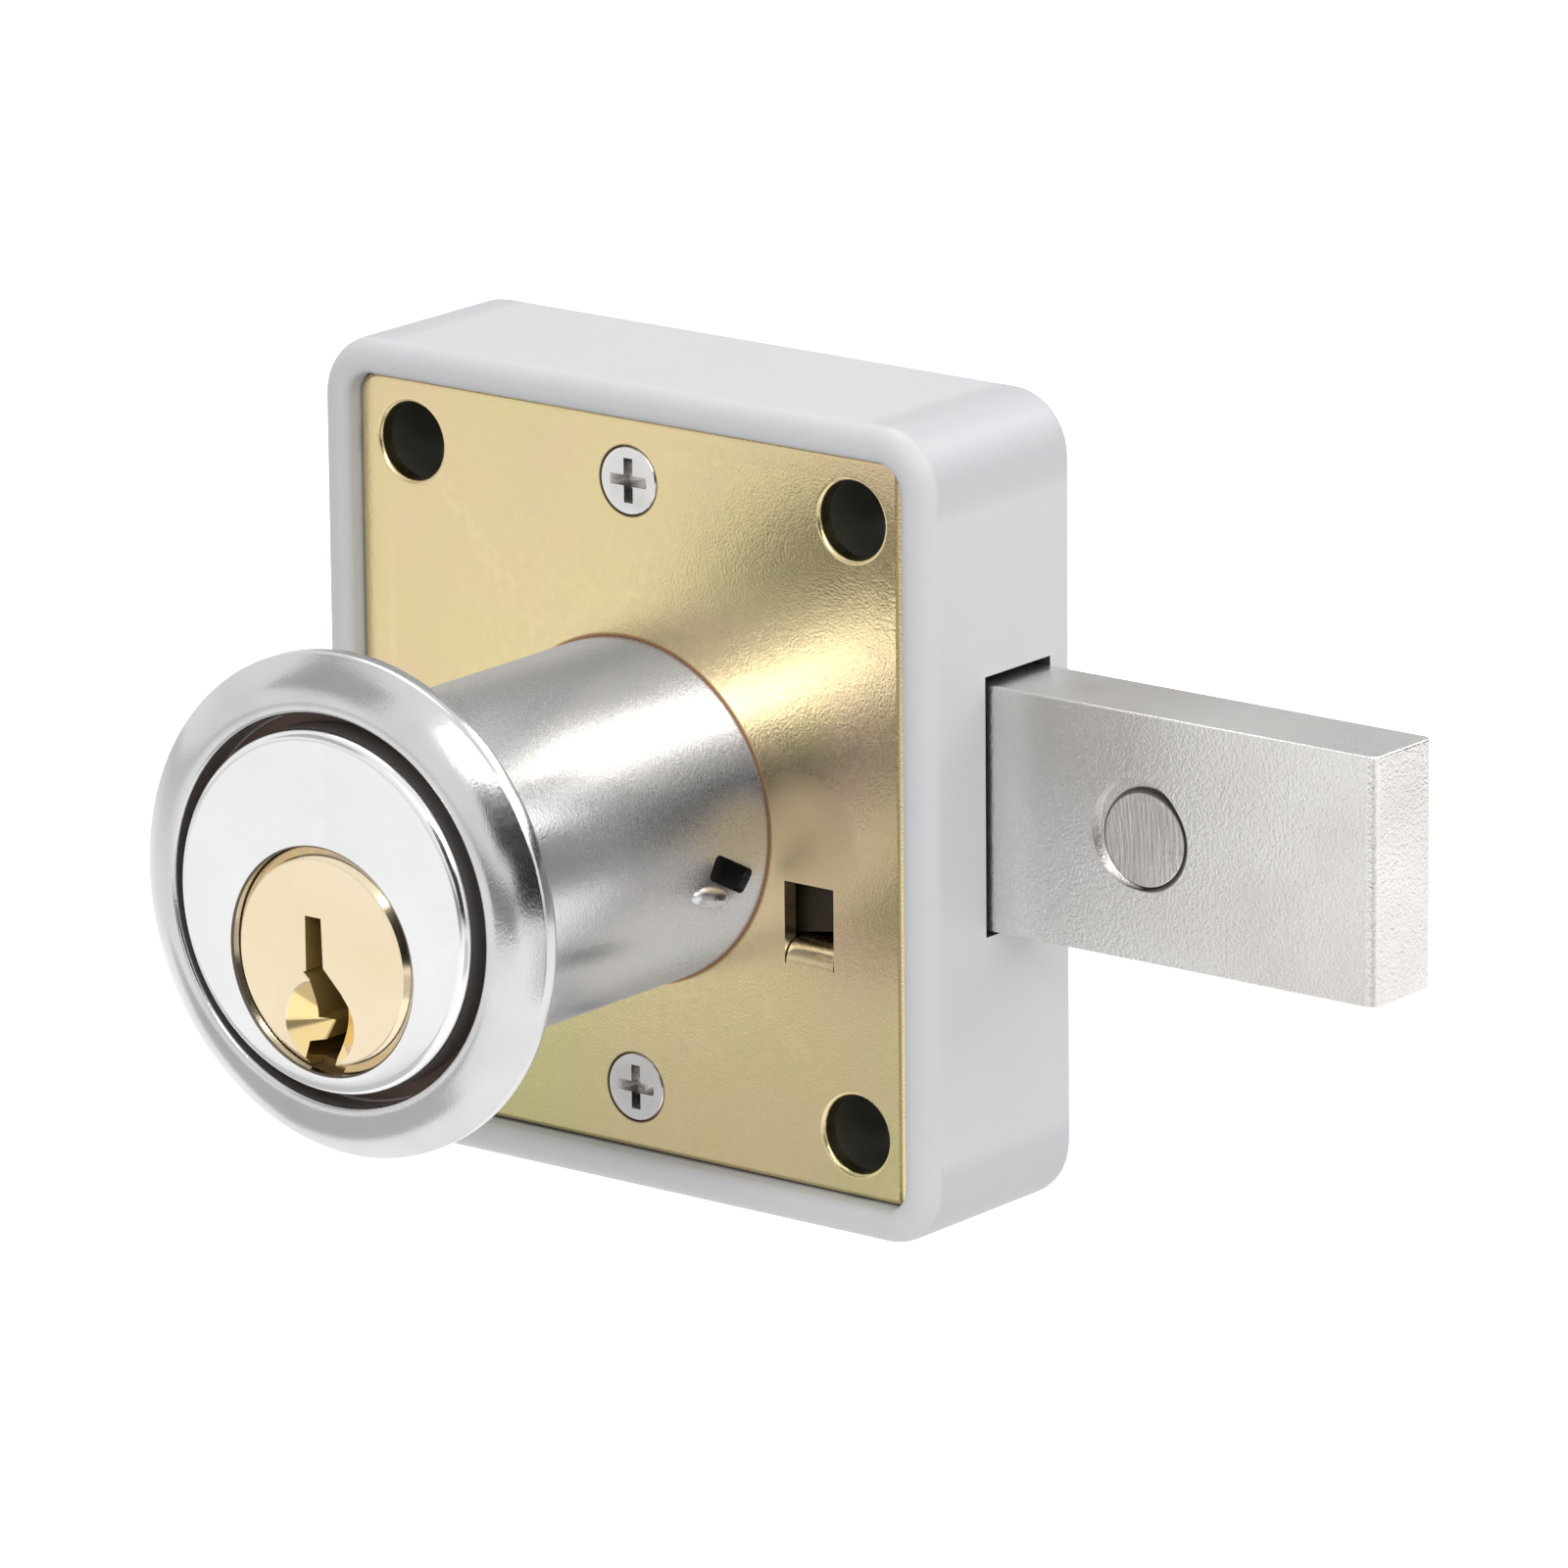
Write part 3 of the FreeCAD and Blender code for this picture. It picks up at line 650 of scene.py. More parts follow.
@dataclass(frozen=True)
class Finish:
    """A finish of a piece: tints, gloss and the relief of its skin in microns."""

    name: str
    slot: str
    main: Colour
    second: Colour
    third: Colour
    drift: float
    roughness: Pair
    grain: Point
    relief: float
    rub: float = 0.0
    metallic: float = 1.0
    gloss: float = 0.5
    mirrored_grey: float = 0.0
    turning: Point | None = None
    zones: tuple[Zone, ...] = ()

    def build(self, effects: Effects) -> Material:
        """Make the material.

        Args:
            effects: The shared node groups.

        Returns:
            The finished material.
        """
        material = bpy.data.materials.new(self.name)
        draft = emptied(material)
        place = draft.add("TexCoord").outputs["Object"]
        tints = {"Vector": place, "Scale": self.drift, "Main": self.main, "Second": self.second, "Third": self.third}
        tint = draft.add("Group", tints, node_tree=effects.drift)
        fine, coarse, balance = self.grain
        skin = {"Vector": place, "Fine": fine, "Coarse": coarse, "Balance": balance}
        height = draft.add("Group", skin, node_tree=effects.grain).outputs["Height"]
        colour, metal = tint.outputs["Color"], self.metallic
        rough = draft.spread(draft.maths("ADD", height, tint.outputs["Cloud"]), 0.7, 1.3, *self.roughness)
        if self.turning:
            across, around, share = self.turning
            marks = draft.add("Group", {"Vector": place, "Across": across, "Round": around}, node_tree=effects.turning)
            height = draft.maths("ADD", height, draft.maths("MULTIPLY", marks.outputs["Height"], share))
        if self.rub:
            mask = draft.add("Group", {"Vector": place, "Break": coarse}, node_tree=effects.rub)
            bright = tuple(min(1.0, channel * 1.25) for channel in self.main)
            colour = draft.blend(draft.maths("MULTIPLY", mask.outputs["Mask"], self.rub), colour, bright)
        # Painted reflection: the plate turns grey where other parts mirror it, so the barrel shows no gold.
        if self.mirrored_grey:
            mirrored = draft.add("LightPath").outputs["Is Glossy Ray"]
            colour = draft.blend(draft.maths("MULTIPLY", mirrored, self.mirrored_grey), colour, grey(0.66))
        for zone in self.zones:
            mask = zone.mask(draft, effects, place)
            colour = draft.blend(mask, colour, zone.tint)
            rough = draft.mix(mask, rough, zone.roughness)
            metal = draft.mix(mask, metal, zone.metallic)
        bump = draft.add("Bump", {"Height": height, "Strength": 1.0, "Distance": self.relief * MICRON})
        shader = draft.add("BsdfPrincipled", {
            "Base Color": colour, "Roughness": rough, "Metallic": metal, "Normal": bump.outputs[0],
            "Specular IOR Level": self.gloss})
        draft.add("OutputMaterial", {0: shader.outputs[0]})
        return material


def grey(value: float, warm: float = 0.0) -> Colour:
    """Give a grey, a little warmer or cooler."""
    return (value * (1 + warm), value, value * (1 - warm), 1.0)


PLATE_CENTRE = (0.15, 1.35)
CASE_CENTRE = (0.3, 1.4)
PLUG_AXIS = (0.0, -2.7)
PLATE_DEPTH = (-1.0, 3.0)

# Painted shade: the case's mounting bores are tinted near black, where little light reaches.
BORE_SHADE = Zone((-1.0, 2.34), (-1.0, 14.0), 0.06, (0.036, 0.036, 0.020, 1), 0.95, 0.6, 0.3, PLATE_CENTRE, (15.7, 17.6))
# Painted shade: the inside of the case behind the plate is tinted dark olive.
CAVITY_SHADE = Zone((-1.0, 20.8), (2.4, 11.3), 0.3, (0.075, 0.07, 0.045, 1), 0.9, 0.6, 0.2, CASE_CENTRE)
# Painted shade: the case's rounded corners are tinted darker, to tone down the light they catch.
CORNER_SHADE = Zone((2.2, 3.9), (0.9, 16.0), 0.5, (0.46, 0.47, 0.49, 1), 0.8, 0.42, 0.0, CASE_CENTRE, (18.1, 19.75))
# Painted shade and reflection: an orange-brown line round the barrel's hole, where the sleeve meets the plate.
BARREL_JOINT_SHADE = Zone((9.0, 10.16), PLATE_DEPTH, 0.14, (0.30, 0.13, 0.05, 1), 0.85, 0.5, 0.7)
# Painted shade: a dark brown ring round each screw seat in the plate.
SCREW_SEAT_SHADE = Zone((1.9, 2.12), PLATE_DEPTH, 0.07, (0.12, 0.07, 0.035, 1), 0.85, 0.5, 0.7, PLATE_CENTRE, (0.0, 17.6))
DULL_PATCH = Zone((-10.0, 4.2), (-10.0, 12.0), 2.2, (0.76, 0.61, 0.37, 1), 0.9, 0.5, 1.0, (12.2, 0.05))
# Painted shade: the ring's recess and hole are tinted dark brown.
RECESS_SHADE = Zone((-1.0, 11.06), (-24.85, -20.0), 0.16, (0.10, 0.050, 0.028, 1), 0.93, 0.5, 0.5)
# Painted shade: the ring's back is tinted dark, standing in for its shaded hollow.
RING_BACK_SHADE = Zone((10.0, 13.9), (-22.9, -20.0), 0.2, (0.10, 0.10, 0.10, 1), 0.85, 0.6, 0.6)
# Painted shade: the head's side, in the gap under the ring, is tinted brown-grey.
HEAD_SIDE_SHADE = Zone((9.9, 12.0), (-25.15, -20.0), 0.12, (0.13, 0.10, 0.08, 1), 0.6, 0.45, 0.7)
# Painted shade: the housing body inside the sleeve is tinted near black, as seen through the stake's hole.
INNER_BODY_SHADE = Zone((-1.0, 10.05), (-23.5, 5.0), 0.1, (0.05, 0.045, 0.035, 1), 0.93, 0.5, 0.7)
PLUG_BORE = Zone((-1.0, 6.46), (-25.1, 5.0), 0.05, (0.24, 0.16, 0.05, 1), 0.95, 0.5, 0.7, PLUG_AXIS)
# Painted shade: a thin dark line where the head's bore meets the plug's face.
PLUG_GAP_SHADE = Zone((-1.0, 6.52), (-25.80, -25.50), 0.03, (0.07, 0.045, 0.02, 1), 0.92, 0.5, 0.6, PLUG_AXIS)
# Painted reflection: the dish is tinted deep gold, standing in for the brass mirroring itself.
DISH_REFLECTION_TINT = Zone((-1.0, 2.6), (-25.61, -23.0), 0.03, (0.98, 0.70, 0.24, 1), 0.6, 0.12, 1.0, (-0.22, -6.25))
# A soft darker patch high on the bolt, round x 29 mm.
DARKER_PATCH = Zone((-20.0, 7.5), (-20.0, 30.0), 5.0, (0.40, 0.37, 0.33, 1), 0.35, 0.36, 1.0, (29.0, 8.5))
# Painted shade: a dark ring in the gap round the bolt's pin.
PIN_GAP_SHADE = Zone((2.60, 2.98), (5.0, 6.4), 0.09, (0.06, 0.05, 0.04, 1), 0.9, 0.6, 0.5, (32.66, 2.57))

# The last two stand for no slot of the record: they paint shade on some faces of the case and of the plug.
FINISHES = (
    Finish("satin_grey_paint", "case_paint", (0.60, 0.61, 0.625, 1), (0.57, 0.585, 0.605, 1), (0.63, 0.635, 0.64, 1),
           60, (0.40, 0.50), (2600, 420, 0.4), 12, 0.15, 0.0, 0.38, zones=(CORNER_SHADE, BORE_SHADE, CAVITY_SHADE)),
    Finish("yellow_passivated_zinc", "plate_zinc", (0.745, 0.625, 0.34, 1), (0.785, 0.595, 0.39, 1),
           (0.68, 0.625, 0.315, 1), 110, (0.20, 0.29), (6500, 1500, 0.35), 18, 0.3, mirrored_grey=0.8,
           zones=(DULL_PATCH, BARREL_JOINT_SHADE, SCREW_SEAT_SHADE)),
    Finish("bright_nickel_screws", "screw_nickel", grey(0.70, 0.02), grey(0.62, 0.03), grey(0.74, 0.01),
           500, (0.16, 0.26), (6000, 1800, 0.4), 3, 0.3),
    Finish("satin_nickel_tube", "sleeve_nickel", (0.62, 0.622, 0.65, 1), (0.59, 0.592, 0.615, 1),
           (0.65, 0.648, 0.67, 1), 90, (0.22, 0.30), (7000, 2600, 0.3), 15, 0.2),
    Finish("polished_chrome_head", "head_chrome", grey(0.82, -0.004), grey(0.79), grey(0.84),
           120, (0.12, 0.2), (4200, 900, 0.5), 1.6, 0.2, zones=(HEAD_SIDE_SHADE, INNER_BODY_SHADE, PLUG_BORE, PLUG_GAP_SHADE)),
    Finish("polished_brass_plug", "plug_brass", (0.84, 0.71, 0.51, 1), (0.82, 0.68, 0.46, 1), (0.86, 0.74, 0.56, 1),
           160, (0.10, 0.17), (5200, 1200, 0.5), 1.4, 0.3, zones=(DISH_REFLECTION_TINT,)),
    Finish("turned_brass_pins", "pin_brass", (0.82, 0.63, 0.33, 1), (0.76, 0.57, 0.29, 1), (0.86, 0.68, 0.38, 1),
           400, (0.2, 0.32), (5200, 1500, 0.5), 3, 0.2),
    Finish("bright_spring_steel", "spring_steel", grey(0.58), grey(0.52, 0.01), grey(0.63),
           500, (0.22, 0.32), (5200, 1500, 0.5), 3, 0.2),
    # The dark is the arm's own blackened steel; the warm cast is a painted reflection of the plate's gold.
    Finish("blackened_arm_steel_painted_warm_reflection", "arm_black", grey(0.034, 0.3), grey(0.026, 0.3), grey(0.045, 0.3),
           300, (0.42, 0.58), (4200, 1200, 0.5), 10, 0.4, 0.8),
    Finish("satin_nickel_bolt", "bolt_nickel", grey(0.79, 0.030), grey(0.73, 0.038), grey(0.82, 0.028),
           130, (0.26, 0.36), (5600, 2200, 0.35), 50, 0.3, zones=(DARKER_PATCH, PIN_GAP_SHADE)),
    Finish("scratched_nickel_pin", "bolt_pin_nickel", grey(0.60, 0.036), grey(0.53, 0.042), grey(0.67, 0.032),
           350, (0.26, 0.38), (6000, 2200, 0.4), 30, 0.3, turning=(4200, 14, 2.4), zones=(PIN_GAP_SHADE,)),
    Finish("brushed_chrome_ring", "ring_chrome", grey(0.64), grey(0.58), grey(0.69),
           160, (0.14, 0.22), (5200, 1500, 0.4), 6, 0.2, turning=(9000, 60, 0.9), zones=(RECESS_SHADE, RING_BACK_SHADE)),
    # Painted shade: the walls of the bolt's slot are near black.
    Finish("painted_slot_shade", "slot_wall", grey(0.05), grey(0.04), grey(0.06),
           300, (0.6, 0.7), (2600, 420, 0.4), 12, metallic=0.0),
    # Duller, less metallic brass on the keyway walls, with painted shade: the tint is dark brown.
    Finish("dull_keyway_brass_painted_shade", "keyway_wall", (0.42, 0.29, 0.09, 1), (0.36, 0.24, 0.07, 1), (0.50, 0.36, 0.13, 1),
           400, (0.4, 0.55), (3000, 900, 0.5), 10, metallic=0.6),
)


# ---- Pieces


@dataclass
class Piece:
    """Common ground of the lock's sub-assemblies, with the sizes that they share."""

    finishes: dict[str, Material]
    hole_columns: Pair = mm(-15.55, 15.85)
    hole_rows: Pair = mm(-16.25, 18.95)
    hole_r: float = 2.23 * MM
    plate_front: float = 1.2 * MM
    plate_back: float = 2.2 * MM
    screw_lip: float = 0.15 * MM
    head_front: float = -25.65 * MM
    plug_z: float = -2.7 * MM
    pins: int = 5
    first_pin: float = -19.5 * MM
    pin_pitch: float = 4.0 * MM
    chamber_r: float = 1.45 * MM

    @property
    def corner_holes(self) -> list[Pair]:
        """Places of the mounting holes across X and Z."""
        return [(x, z) for x in self.hole_columns for z in self.hole_rows]

    @property
    def screw_holes(self) -> list[Pair]:
        """Places of the two plate screws, midway between the mounting holes."""
        return [(sum(self.hole_columns) / 2, z) for z in self.hole_rows]

    def chambers(self, low: float, high: float) -> list[Thing]:
        """Make the drills of the pin chambers between two heights."""
        return [bar("chamber", self.chamber_r, (low, high), (0, self.first_pin + number * self.pin_pitch),
                    sides=48, axis=Axis.Z) for number in range(self.pins)]

    def deliver(self, piece: Thing, body: Body, slot: str, *nodes: str) -> None:
        """Dress a finished piece and hand it to the frame.

        Args:
            piece: The finished object.
            body: The body it rides on.
            slot: The record's material slot.
            nodes: The frame's nodes that it stands for.
        """
        piece.data.materials.clear()
        piece.data.materials.append(self.finishes[slot])
        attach(piece, body.value)
        if nodes:
            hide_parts(*nodes)
        log.info("%s: %d faces, rides on %s", piece.name, len(piece.data.polygons), body.value)

    def line(self, piece: Thing, finish: str, wanted: Test) -> None:
        """Give some faces of a delivered piece a second finish.

        Args:
            piece: The delivered object.
            finish: Which finish that is.
            wanted: Tells which faces it goes on.
        """
        piece.data.materials.append(self.finishes[finish])
        with editing(piece):
            choose(piece, Parts.FACES, wanted)
            piece.active_material_index = 1
            bpy.ops.object.material_slot_assign()


@dataclass
class Case(Piece):
    """Die-cast case with rounded rim, bosses, ribs, bolt slot and screw holes."""

    low: Point = mm(-21.4, 0.0, -21.95)
    high: Point = mm(22.0, 13.4, 24.75)
    wall: float = 2.0 * MM
    cavity_back: float = 11.15 * MM
    corner: float = 3.6 * MM
    rim_outer: float = 1.3 * MM
    rim_inner: float = 0.55 * MM
    back_edge: float = 0.9 * MM
    hole_sink: float = 4.2 * MM
    boss: float = 4.3 * MM
    screw_boss: float = 3.9 * MM
    pilot: float = 1.29 * MM
    pilot_end: float = 9.78 * MM
    rib_rows: Pair = mm(-7.3, 13.4)
    rib: float = 1.5 * MM
    rib_front: float = 5.5 * MM
    arm_back: float = 4.4 * MM
    sweep: float = 15.8 * MM
    hub: float = 4.6 * MM
    slot_low: Point = mm(19.0, 5.2, -4.72)
    slot_high: Point = mm(23.0, 11.15, 10.18)

    def on_outer_rim(self, edge: Any) -> bool:
        """Tell whether an edge belongs to the outline and not to the opening.

        Args:
            edge: The mesh edge.

        Returns:
            Whether it lies near the outside.
        """
        centre = [(a + b) / 2 for a, b in zip(self.low, self.high)]
        half = [(b - a) / 2 for a, b in zip(self.low, self.high)]
        inset = -self.wall * 0.75
        return all(max(abs(vert.co.x - centre[0]) - half[0], abs(vert.co.z - centre[2]) - half[2]) > inset
                   for vert in edge.verts)

    def in_slot(self, face: Any) -> bool:
        """Tell whether a face is a wall of the bolt's slot.

        Args:
            face: The mesh face.

        Returns:
            Whether it runs along X inside the slot's part of the case wall.
        """
        near = 0.1 * MM
        lowest = (self.high[0] - self.wall, *self.slot_low[1:])
        highest = (self.high[0], *self.slot_high[1:])
        return abs(face.normal.x) < SIDEWAYS and all(
            low - near < value < high + near for low, value, high in zip(lowest, face.calc_center_median(), highest))

    def shell(self) -> Thing:
        """Make the rounded box and sink its cavity.

        Returns:
            The shell.
        """
        piece = block("case_casting", self.low, self.high)
        round_edges(piece, lambda edge: runs_along(edge, 1), self.corner, steps=10)
        with editing(piece):
            choose(piece, Parts.FACES, lambda face: face.normal.y < -FACING)
            bpy.ops.mesh.inset(thickness=self.wall)
            bpy.ops.mesh.extrude_region_move(TRANSFORM_OT_translate={"value": (0, self.cavity_back, 0)})
        round_edges(piece, lambda edge: lies_at(edge, 1, 0.0) and self.on_outer_rim(edge), self.rim_outer, steps=6)
        round_edges(piece, lambda edge: lies_at(edge, 1, 0.0) and not self.on_outer_rim(edge) and is_folded(edge),
                    self.rim_inner, steps=4)
        round_edges(piece, lambda edge: lies_at(edge, 1, self.high[1]), self.back_edge, steps=4)
        return piece

    def fittings(self) -> list[Thing]:
        """Make the bosses and ribs that stand in the cavity, cleared for the arm and the bolt's head.

        Returns:
            The bosses and ribs.
        """
        ends = (self.plate_back, self.cavity_back + MM)
        made = [bar("boss", self.boss, ends, spot, BORE_SIDES) for spot in self.corner_holes]
        made += [bar("screw_boss", self.screw_boss, ends, spot, BORE_SIDES) for spot in self.screw_holes]
        left, right = self.low[0] + self.wall / 2, self.high[0] - self.wall / 2
        made += [block("rib", (left, self.rib_front, z), (right, ends[1], z + self.rib)) for z in self.rib_rows]
        for piece in made:
            sweep = bar("arm_sweep", self.sweep, (MM, self.rib_front), (0, self.plug_z), sides=96)
            upper = block("upper_half", (-self.sweep, 0, self.plug_z - self.hub),
                          (self.sweep, self.cavity_back, self.plug_z + self.sweep))
            combine(sweep, [upper], Cut.KEEP)
            channel = block("head_channel", (self.low[0] + self.wall, self.arm_back, self.rib_rows[0] + self.rib),
                            (self.high[0] - self.wall, self.cavity_back, self.rib_rows[1]))
            combine(piece, [sweep, channel], Cut.TAKE_AWAY)
        return made

    def openings(self) -> list[Thing]:
        """Make the tools that cut the slot and the holes.

        Returns:
            The tools.
        """
        back = self.high[1]
        sink = (back - (self.hole_sink - self.hole_r), back + MM)
        cuts = [block("slot", self.slot_low, self.slot_high)]
        for spot in self.corner_holes:
            cuts.append(bar("hole", self.hole_r, (MM, back + MM), spot, BORE_SIDES))
            cuts.append(bar("sink", self.hole_r, sink, spot, BORE_SIDES, self.hole_sink + MM))
        cuts += [bar("pilot", self.pilot, (MM, self.pilot_end), spot, sides=32) for spot in self.screw_holes]
        return cuts

    def make(self) -> None:
        """Make the case and hand it over."""
        piece = self.shell()
        combine(piece, self.fittings(), Cut.ADD)
        combine(piece, self.openings(), Cut.TAKE_AWAY)
        self.deliver(finish_mesh(piece), Body.LOCK, "case_paint", "lock_case")
        # Painted shade on the walls of the bolt's slot.
        self.line(piece, "slot_wall", self.in_slot)


@dataclass
class CoverPlate(Piece):
    """Pressed steel plate with rounded edges, a square window and the tab bent out of it."""

    low: Pair = mm(-19.28, -19.83)
    high: Pair = mm(19.88, 22.63)
    corner: float = 1.3 * MM
    edge: float = 0.3 * MM
    strip: float = 0.8 * MM
    strip_fall: float = math.radians(20)
    crease: Point = mm(0.17, 0.05, 0.2)
    barrel: float = 9.93 * MM
    seat: float = 2.02 * MM
    shank: float = 1.29 * MM
    window: tuple[float, float, float, float] = mm(10.95, 14.4, -7.1, -2.35)
    tab_gap: float = 0.08 * MM
    bend: float = 0.3 * MM
    tab_end: float = 5.2 * MM
    crisp: float = math.radians(19)

    def make(self) -> None:
        """Press the plate, punch it, bend the tab and hand it over."""
        front, back = self.plate_front, self.plate_back
        piece = block("plate_pressing", (self.low[0], front, self.low[1]), (self.high[0], back, self.high[1]))
        round_edges(piece, lambda edge: runs_along(edge, 1), self.corner, steps=8)
        round_edges(piece, lambda edge: lies_at(edge, 1, front), self.edge, steps=6)
        through = (0, back + MM)
        cuts = [bar("barrel_hole", self.barrel, through, (0, 0), sides=128)]
        cuts += [bar("corner_hole", self.hole_r, through, spot, BORE_SIDES) for spot in self.corner_holes]
        lip = front + self.screw_lip
        for spot in self.screw_holes:
            cone = (lip, lip + (self.seat - self.shank))
            cuts.append(bar("seat_lip", self.seat, (0, lip), spot, BORE_SIDES))
            cuts.append(bar("seat", self.seat, cone, spot, BORE_SIDES, self.shank))
            cuts.append(bar("shank_hole", self.shank, (lip, back + MM), spot, BORE_SIDES))
        left, right, bottom, top = self.window
        cuts.append(block("window", (left, 0, bottom), (right, back + MM, top)))
        combine(piece, cuts + self.turned_edge(), Cut.TAKE_AWAY)
        round_edges(piece, self.rims_hole, self.edge, steps=5)
        combine(piece, [self.tab()], Cut.ADD)
        self.deliver(finish_mesh(piece, self.crisp), Body.LOCK, "plate_zinc", "cover_plate")

    def turned_edge(self) -> list[Thing]:
        """Make the tools for the strip that falls away along the right edge and for its crease.

        Returns:
            The tools.
        """
        place = self.high[0] - self.strip
        bottom, top = self.low[1] - MM, self.high[1] + MM
        fall = block("edge_fall", (0, -2 * MM, bottom), (3 * self.strip, 0, top))
        fall.rotation_euler = (0, 0, self.strip_fall)
        fall.location = (place, self.plate_front, 0)
        settle(fall)
        left, right, depth = self.crease
        return [fall, block("edge_crease", (place - left, 0, bottom), (place + right, self.plate_front + depth, top))]

    def rims_hole(self, edge: Any) -> bool:
        """Tell whether an edge is on the front rim of a corner hole, which the punch leaves round.

        Args:
            edge: The mesh edge.

        Returns:
            Whether it is on such a rim.
        """
        spot = (edge.verts[0].co + edge.verts[1].co) / 2
        return lies_at(edge, 1, self.plate_front) and is_folded(edge) and any(
            math.hypot(spot.x - x, spot.z - z) < self.hole_r * 1.05 for x, z in self.corner_holes)

    def tab(self) -> Thing:
        """Bend the tab: a strip that turns in below the window and runs back.

        Returns:
            The tab.
        """
        left, right, bottom, _ = self.window
        turn_y = self.plate_back + self.bend
        tab = block("tab", (left + self.tab_gap, self.plate_front, bottom - self.bend),
                    (right - self.tab_gap, self.plate_back, bottom))
        with editing(tab):
            choose(tab, Parts.FACES, lambda face: face.normal.z > FACING)
            bpy.ops.mesh.delete(type="ONLY_FACE")
            bpy.ops.mesh.select_mode(type="EDGE")
            choose(tab, Parts.EDGES, lambda edge: lies_at(edge, 2, bottom))
            bpy.ops.mesh.spin(steps=8, angle=QUARTER, center=(0, turn_y, bottom), axis=(1, 0, 0))
            bpy.ops.mesh.extrude_edges_move(TRANSFORM_OT_translate={"value": (0, self.tab_end - turn_y, 0)})
            bpy.ops.mesh.edge_face_add()
            close_skin()
        return tab


@dataclass
class Barrel(Piece):
    """Sleeve with its punched stake, cylinder housing with its head, and the loose trim ring."""

    sleeve_r: float = 9.92 * MM
    sleeve_wall: float = 0.5 * MM
    flange_r: float = 10.7 * MM
    flange: float = 0.35 * MM
    head_back: float = -23.3 * MM
    head_r: float = 10.24 * MM
    head_edge: float = 0.6 * MM
    housing_r: float = 9.38 * MM
    housing_end: float = 0.6 * MM
    collar_seat: float = 6.4 * MM
    collar_end: float = -24.1 * MM
    seat_edge: float = 0.08 * MM
    bore: float = 6.0 * MM
    ring_r: float = 14.2 * MM
    ring_hole: float = 10.02 * MM
    ring_recess: float = 11.0 * MM
    ring_back: float = -22.5 * MM
    ring_floor: float = -23.2 * MM
    ring_crest: float = -25.05 * MM
    ring_rim: float = 1.2 * MM
    ring_edge: float = 0.4 * MM
    ring_lip: float = 0.3 * MM
    crest_width: float = 0.62 * MM
    dome_edge: float = 0.32 * MM
    dome_crown: float = 0.21 * MM
    dome_steps: int = 8
    stake_y: float = -2.1 * MM
    stake_turn: Point = (math.radians(-27), math.radians(8.5), 0)
    stake_size: Pair = mm(3.8, 1.5)
    stake_corner: float = 0.35 * MM
    lip_size: Point = mm(0.50, 1.85, 0.66)
    lip_turn: float = math.radians(13)
    lip_sunk: float = 0.12 * MM
    lip_place: Pair = mm(-0.97, -1.6)
    pocket_r: float = 2.3 * MM
    pocket_depth: float = 1.5 * MM
    cover_floor: float = 8.3 * MM
    cover_half: float = 2.19 * MM
    cover_past: float = 1.94 * MM

    def sleeve(self) -> Thing:
        """Turn the sleeve with its rolled foot.

        Returns:
            The sleeve.
        """
        inner = self.sleeve_r - self.sleeve_wall
        foot = self.plate_back + self.flange
        stations = [(inner, foot), (self.flange_r, foot), (self.flange_r, self.plate_back),
                    (self.sleeve_r, self.plate_back), (self.sleeve_r, self.head_back), (inner, self.head_back)]
        return turned("sleeve_tube", stations, TUBE_SIDES)

    def housing(self) -> Thing:
        """Turn the housing: body, head with a rounded edge, and the plug's offset bore.

        Returns:
            The housing.
        """
        edge, z = self.head_edge, self.plug_z
        stations = [(self.housing_r, self.housing_end), (self.housing_r, self.head_back), (self.head_r, self.head_back)]
        stations += corner_arc((self.head_r - edge, self.head_front + edge), edge, 0, -90, steps=8)
        stations += [(self.collar_seat + self.seat_edge, self.head_front, z),
                     (self.collar_seat, self.head_front + self.seat_edge, z),
                     (self.collar_seat, self.collar_end, z), (self.bore, self.collar_end, z),
                     (self.bore, self.housing_end, z)]
        return turned("housing_body", stations, TUBE_SIDES)

    def place_stake(self, piece: Thing) -> Thing:
        """Turn a piece made on the +X side of the barrel to where the stake is.

        Args:
            piece: The object to place.

        Returns:
            The same object.
        """
        piece.rotation_euler = self.stake_turn
        piece.location = (0, self.stake_y, 0)
        settle(piece)
        return piece

    def stake_hole(self) -> Thing:
        """Make the punch that opens the stake.

        Returns:
            The punch.
        """
        half_y, half_z = self.stake_size[0] / 2, self.stake_size[1] / 2
        punch = block("stake_punch", (self.sleeve_r - 2 * self.sleeve_wall, -half_y, -half_z),
                      (self.sleeve_r + self.sleeve_wall, half_y, half_z))
        round_edges(punch, lambda edge: runs_along(edge, 0), self.stake_corner, steps=4)
        return self.place_stake(punch)

    def stake_lip(self) -> Thing:
        """Make the oval lip that the punch throws up below the stake.

        Returns:
            The lip.
        """
        clear_selection()
        bpy.ops.mesh.primitive_uv_sphere_add(segments=32, ring_count=16, radius=1)
        lip = bpy.context.object
        lip.scale = self.lip_size
        lip.rotation_euler = (self.lip_turn, 0, 0)
        lip.location = (self.sleeve_r - self.lip_sunk, *self.lip_place)
        return self.place_stake(named("stake_lip"))

    def housing_cuts(self) -> list[Thing]:
        """Make the pin chambers, the slot of their cover and the stake's pocket.

        Returns:
            The tools.
        """
        cuts = self.chambers(self.plug_z, self.cover_floor + MM)
        last_pin = self.first_pin + (self.pins - 1) * self.pin_pitch
        cuts.append(block("cover_slot", (-self.cover_half, self.first_pin - self.cover_past, self.cover_floor),
                          (self.cover_half, last_pin + self.cover_past, self.sleeve_r)))
        ends = (self.housing_r - self.pocket_depth, self.sleeve_r)
        cuts.append(self.place_stake(bar("stake_pocket", self.pocket_r, ends, (0, 0), sides=40, axis=Axis.X)))
        return cuts

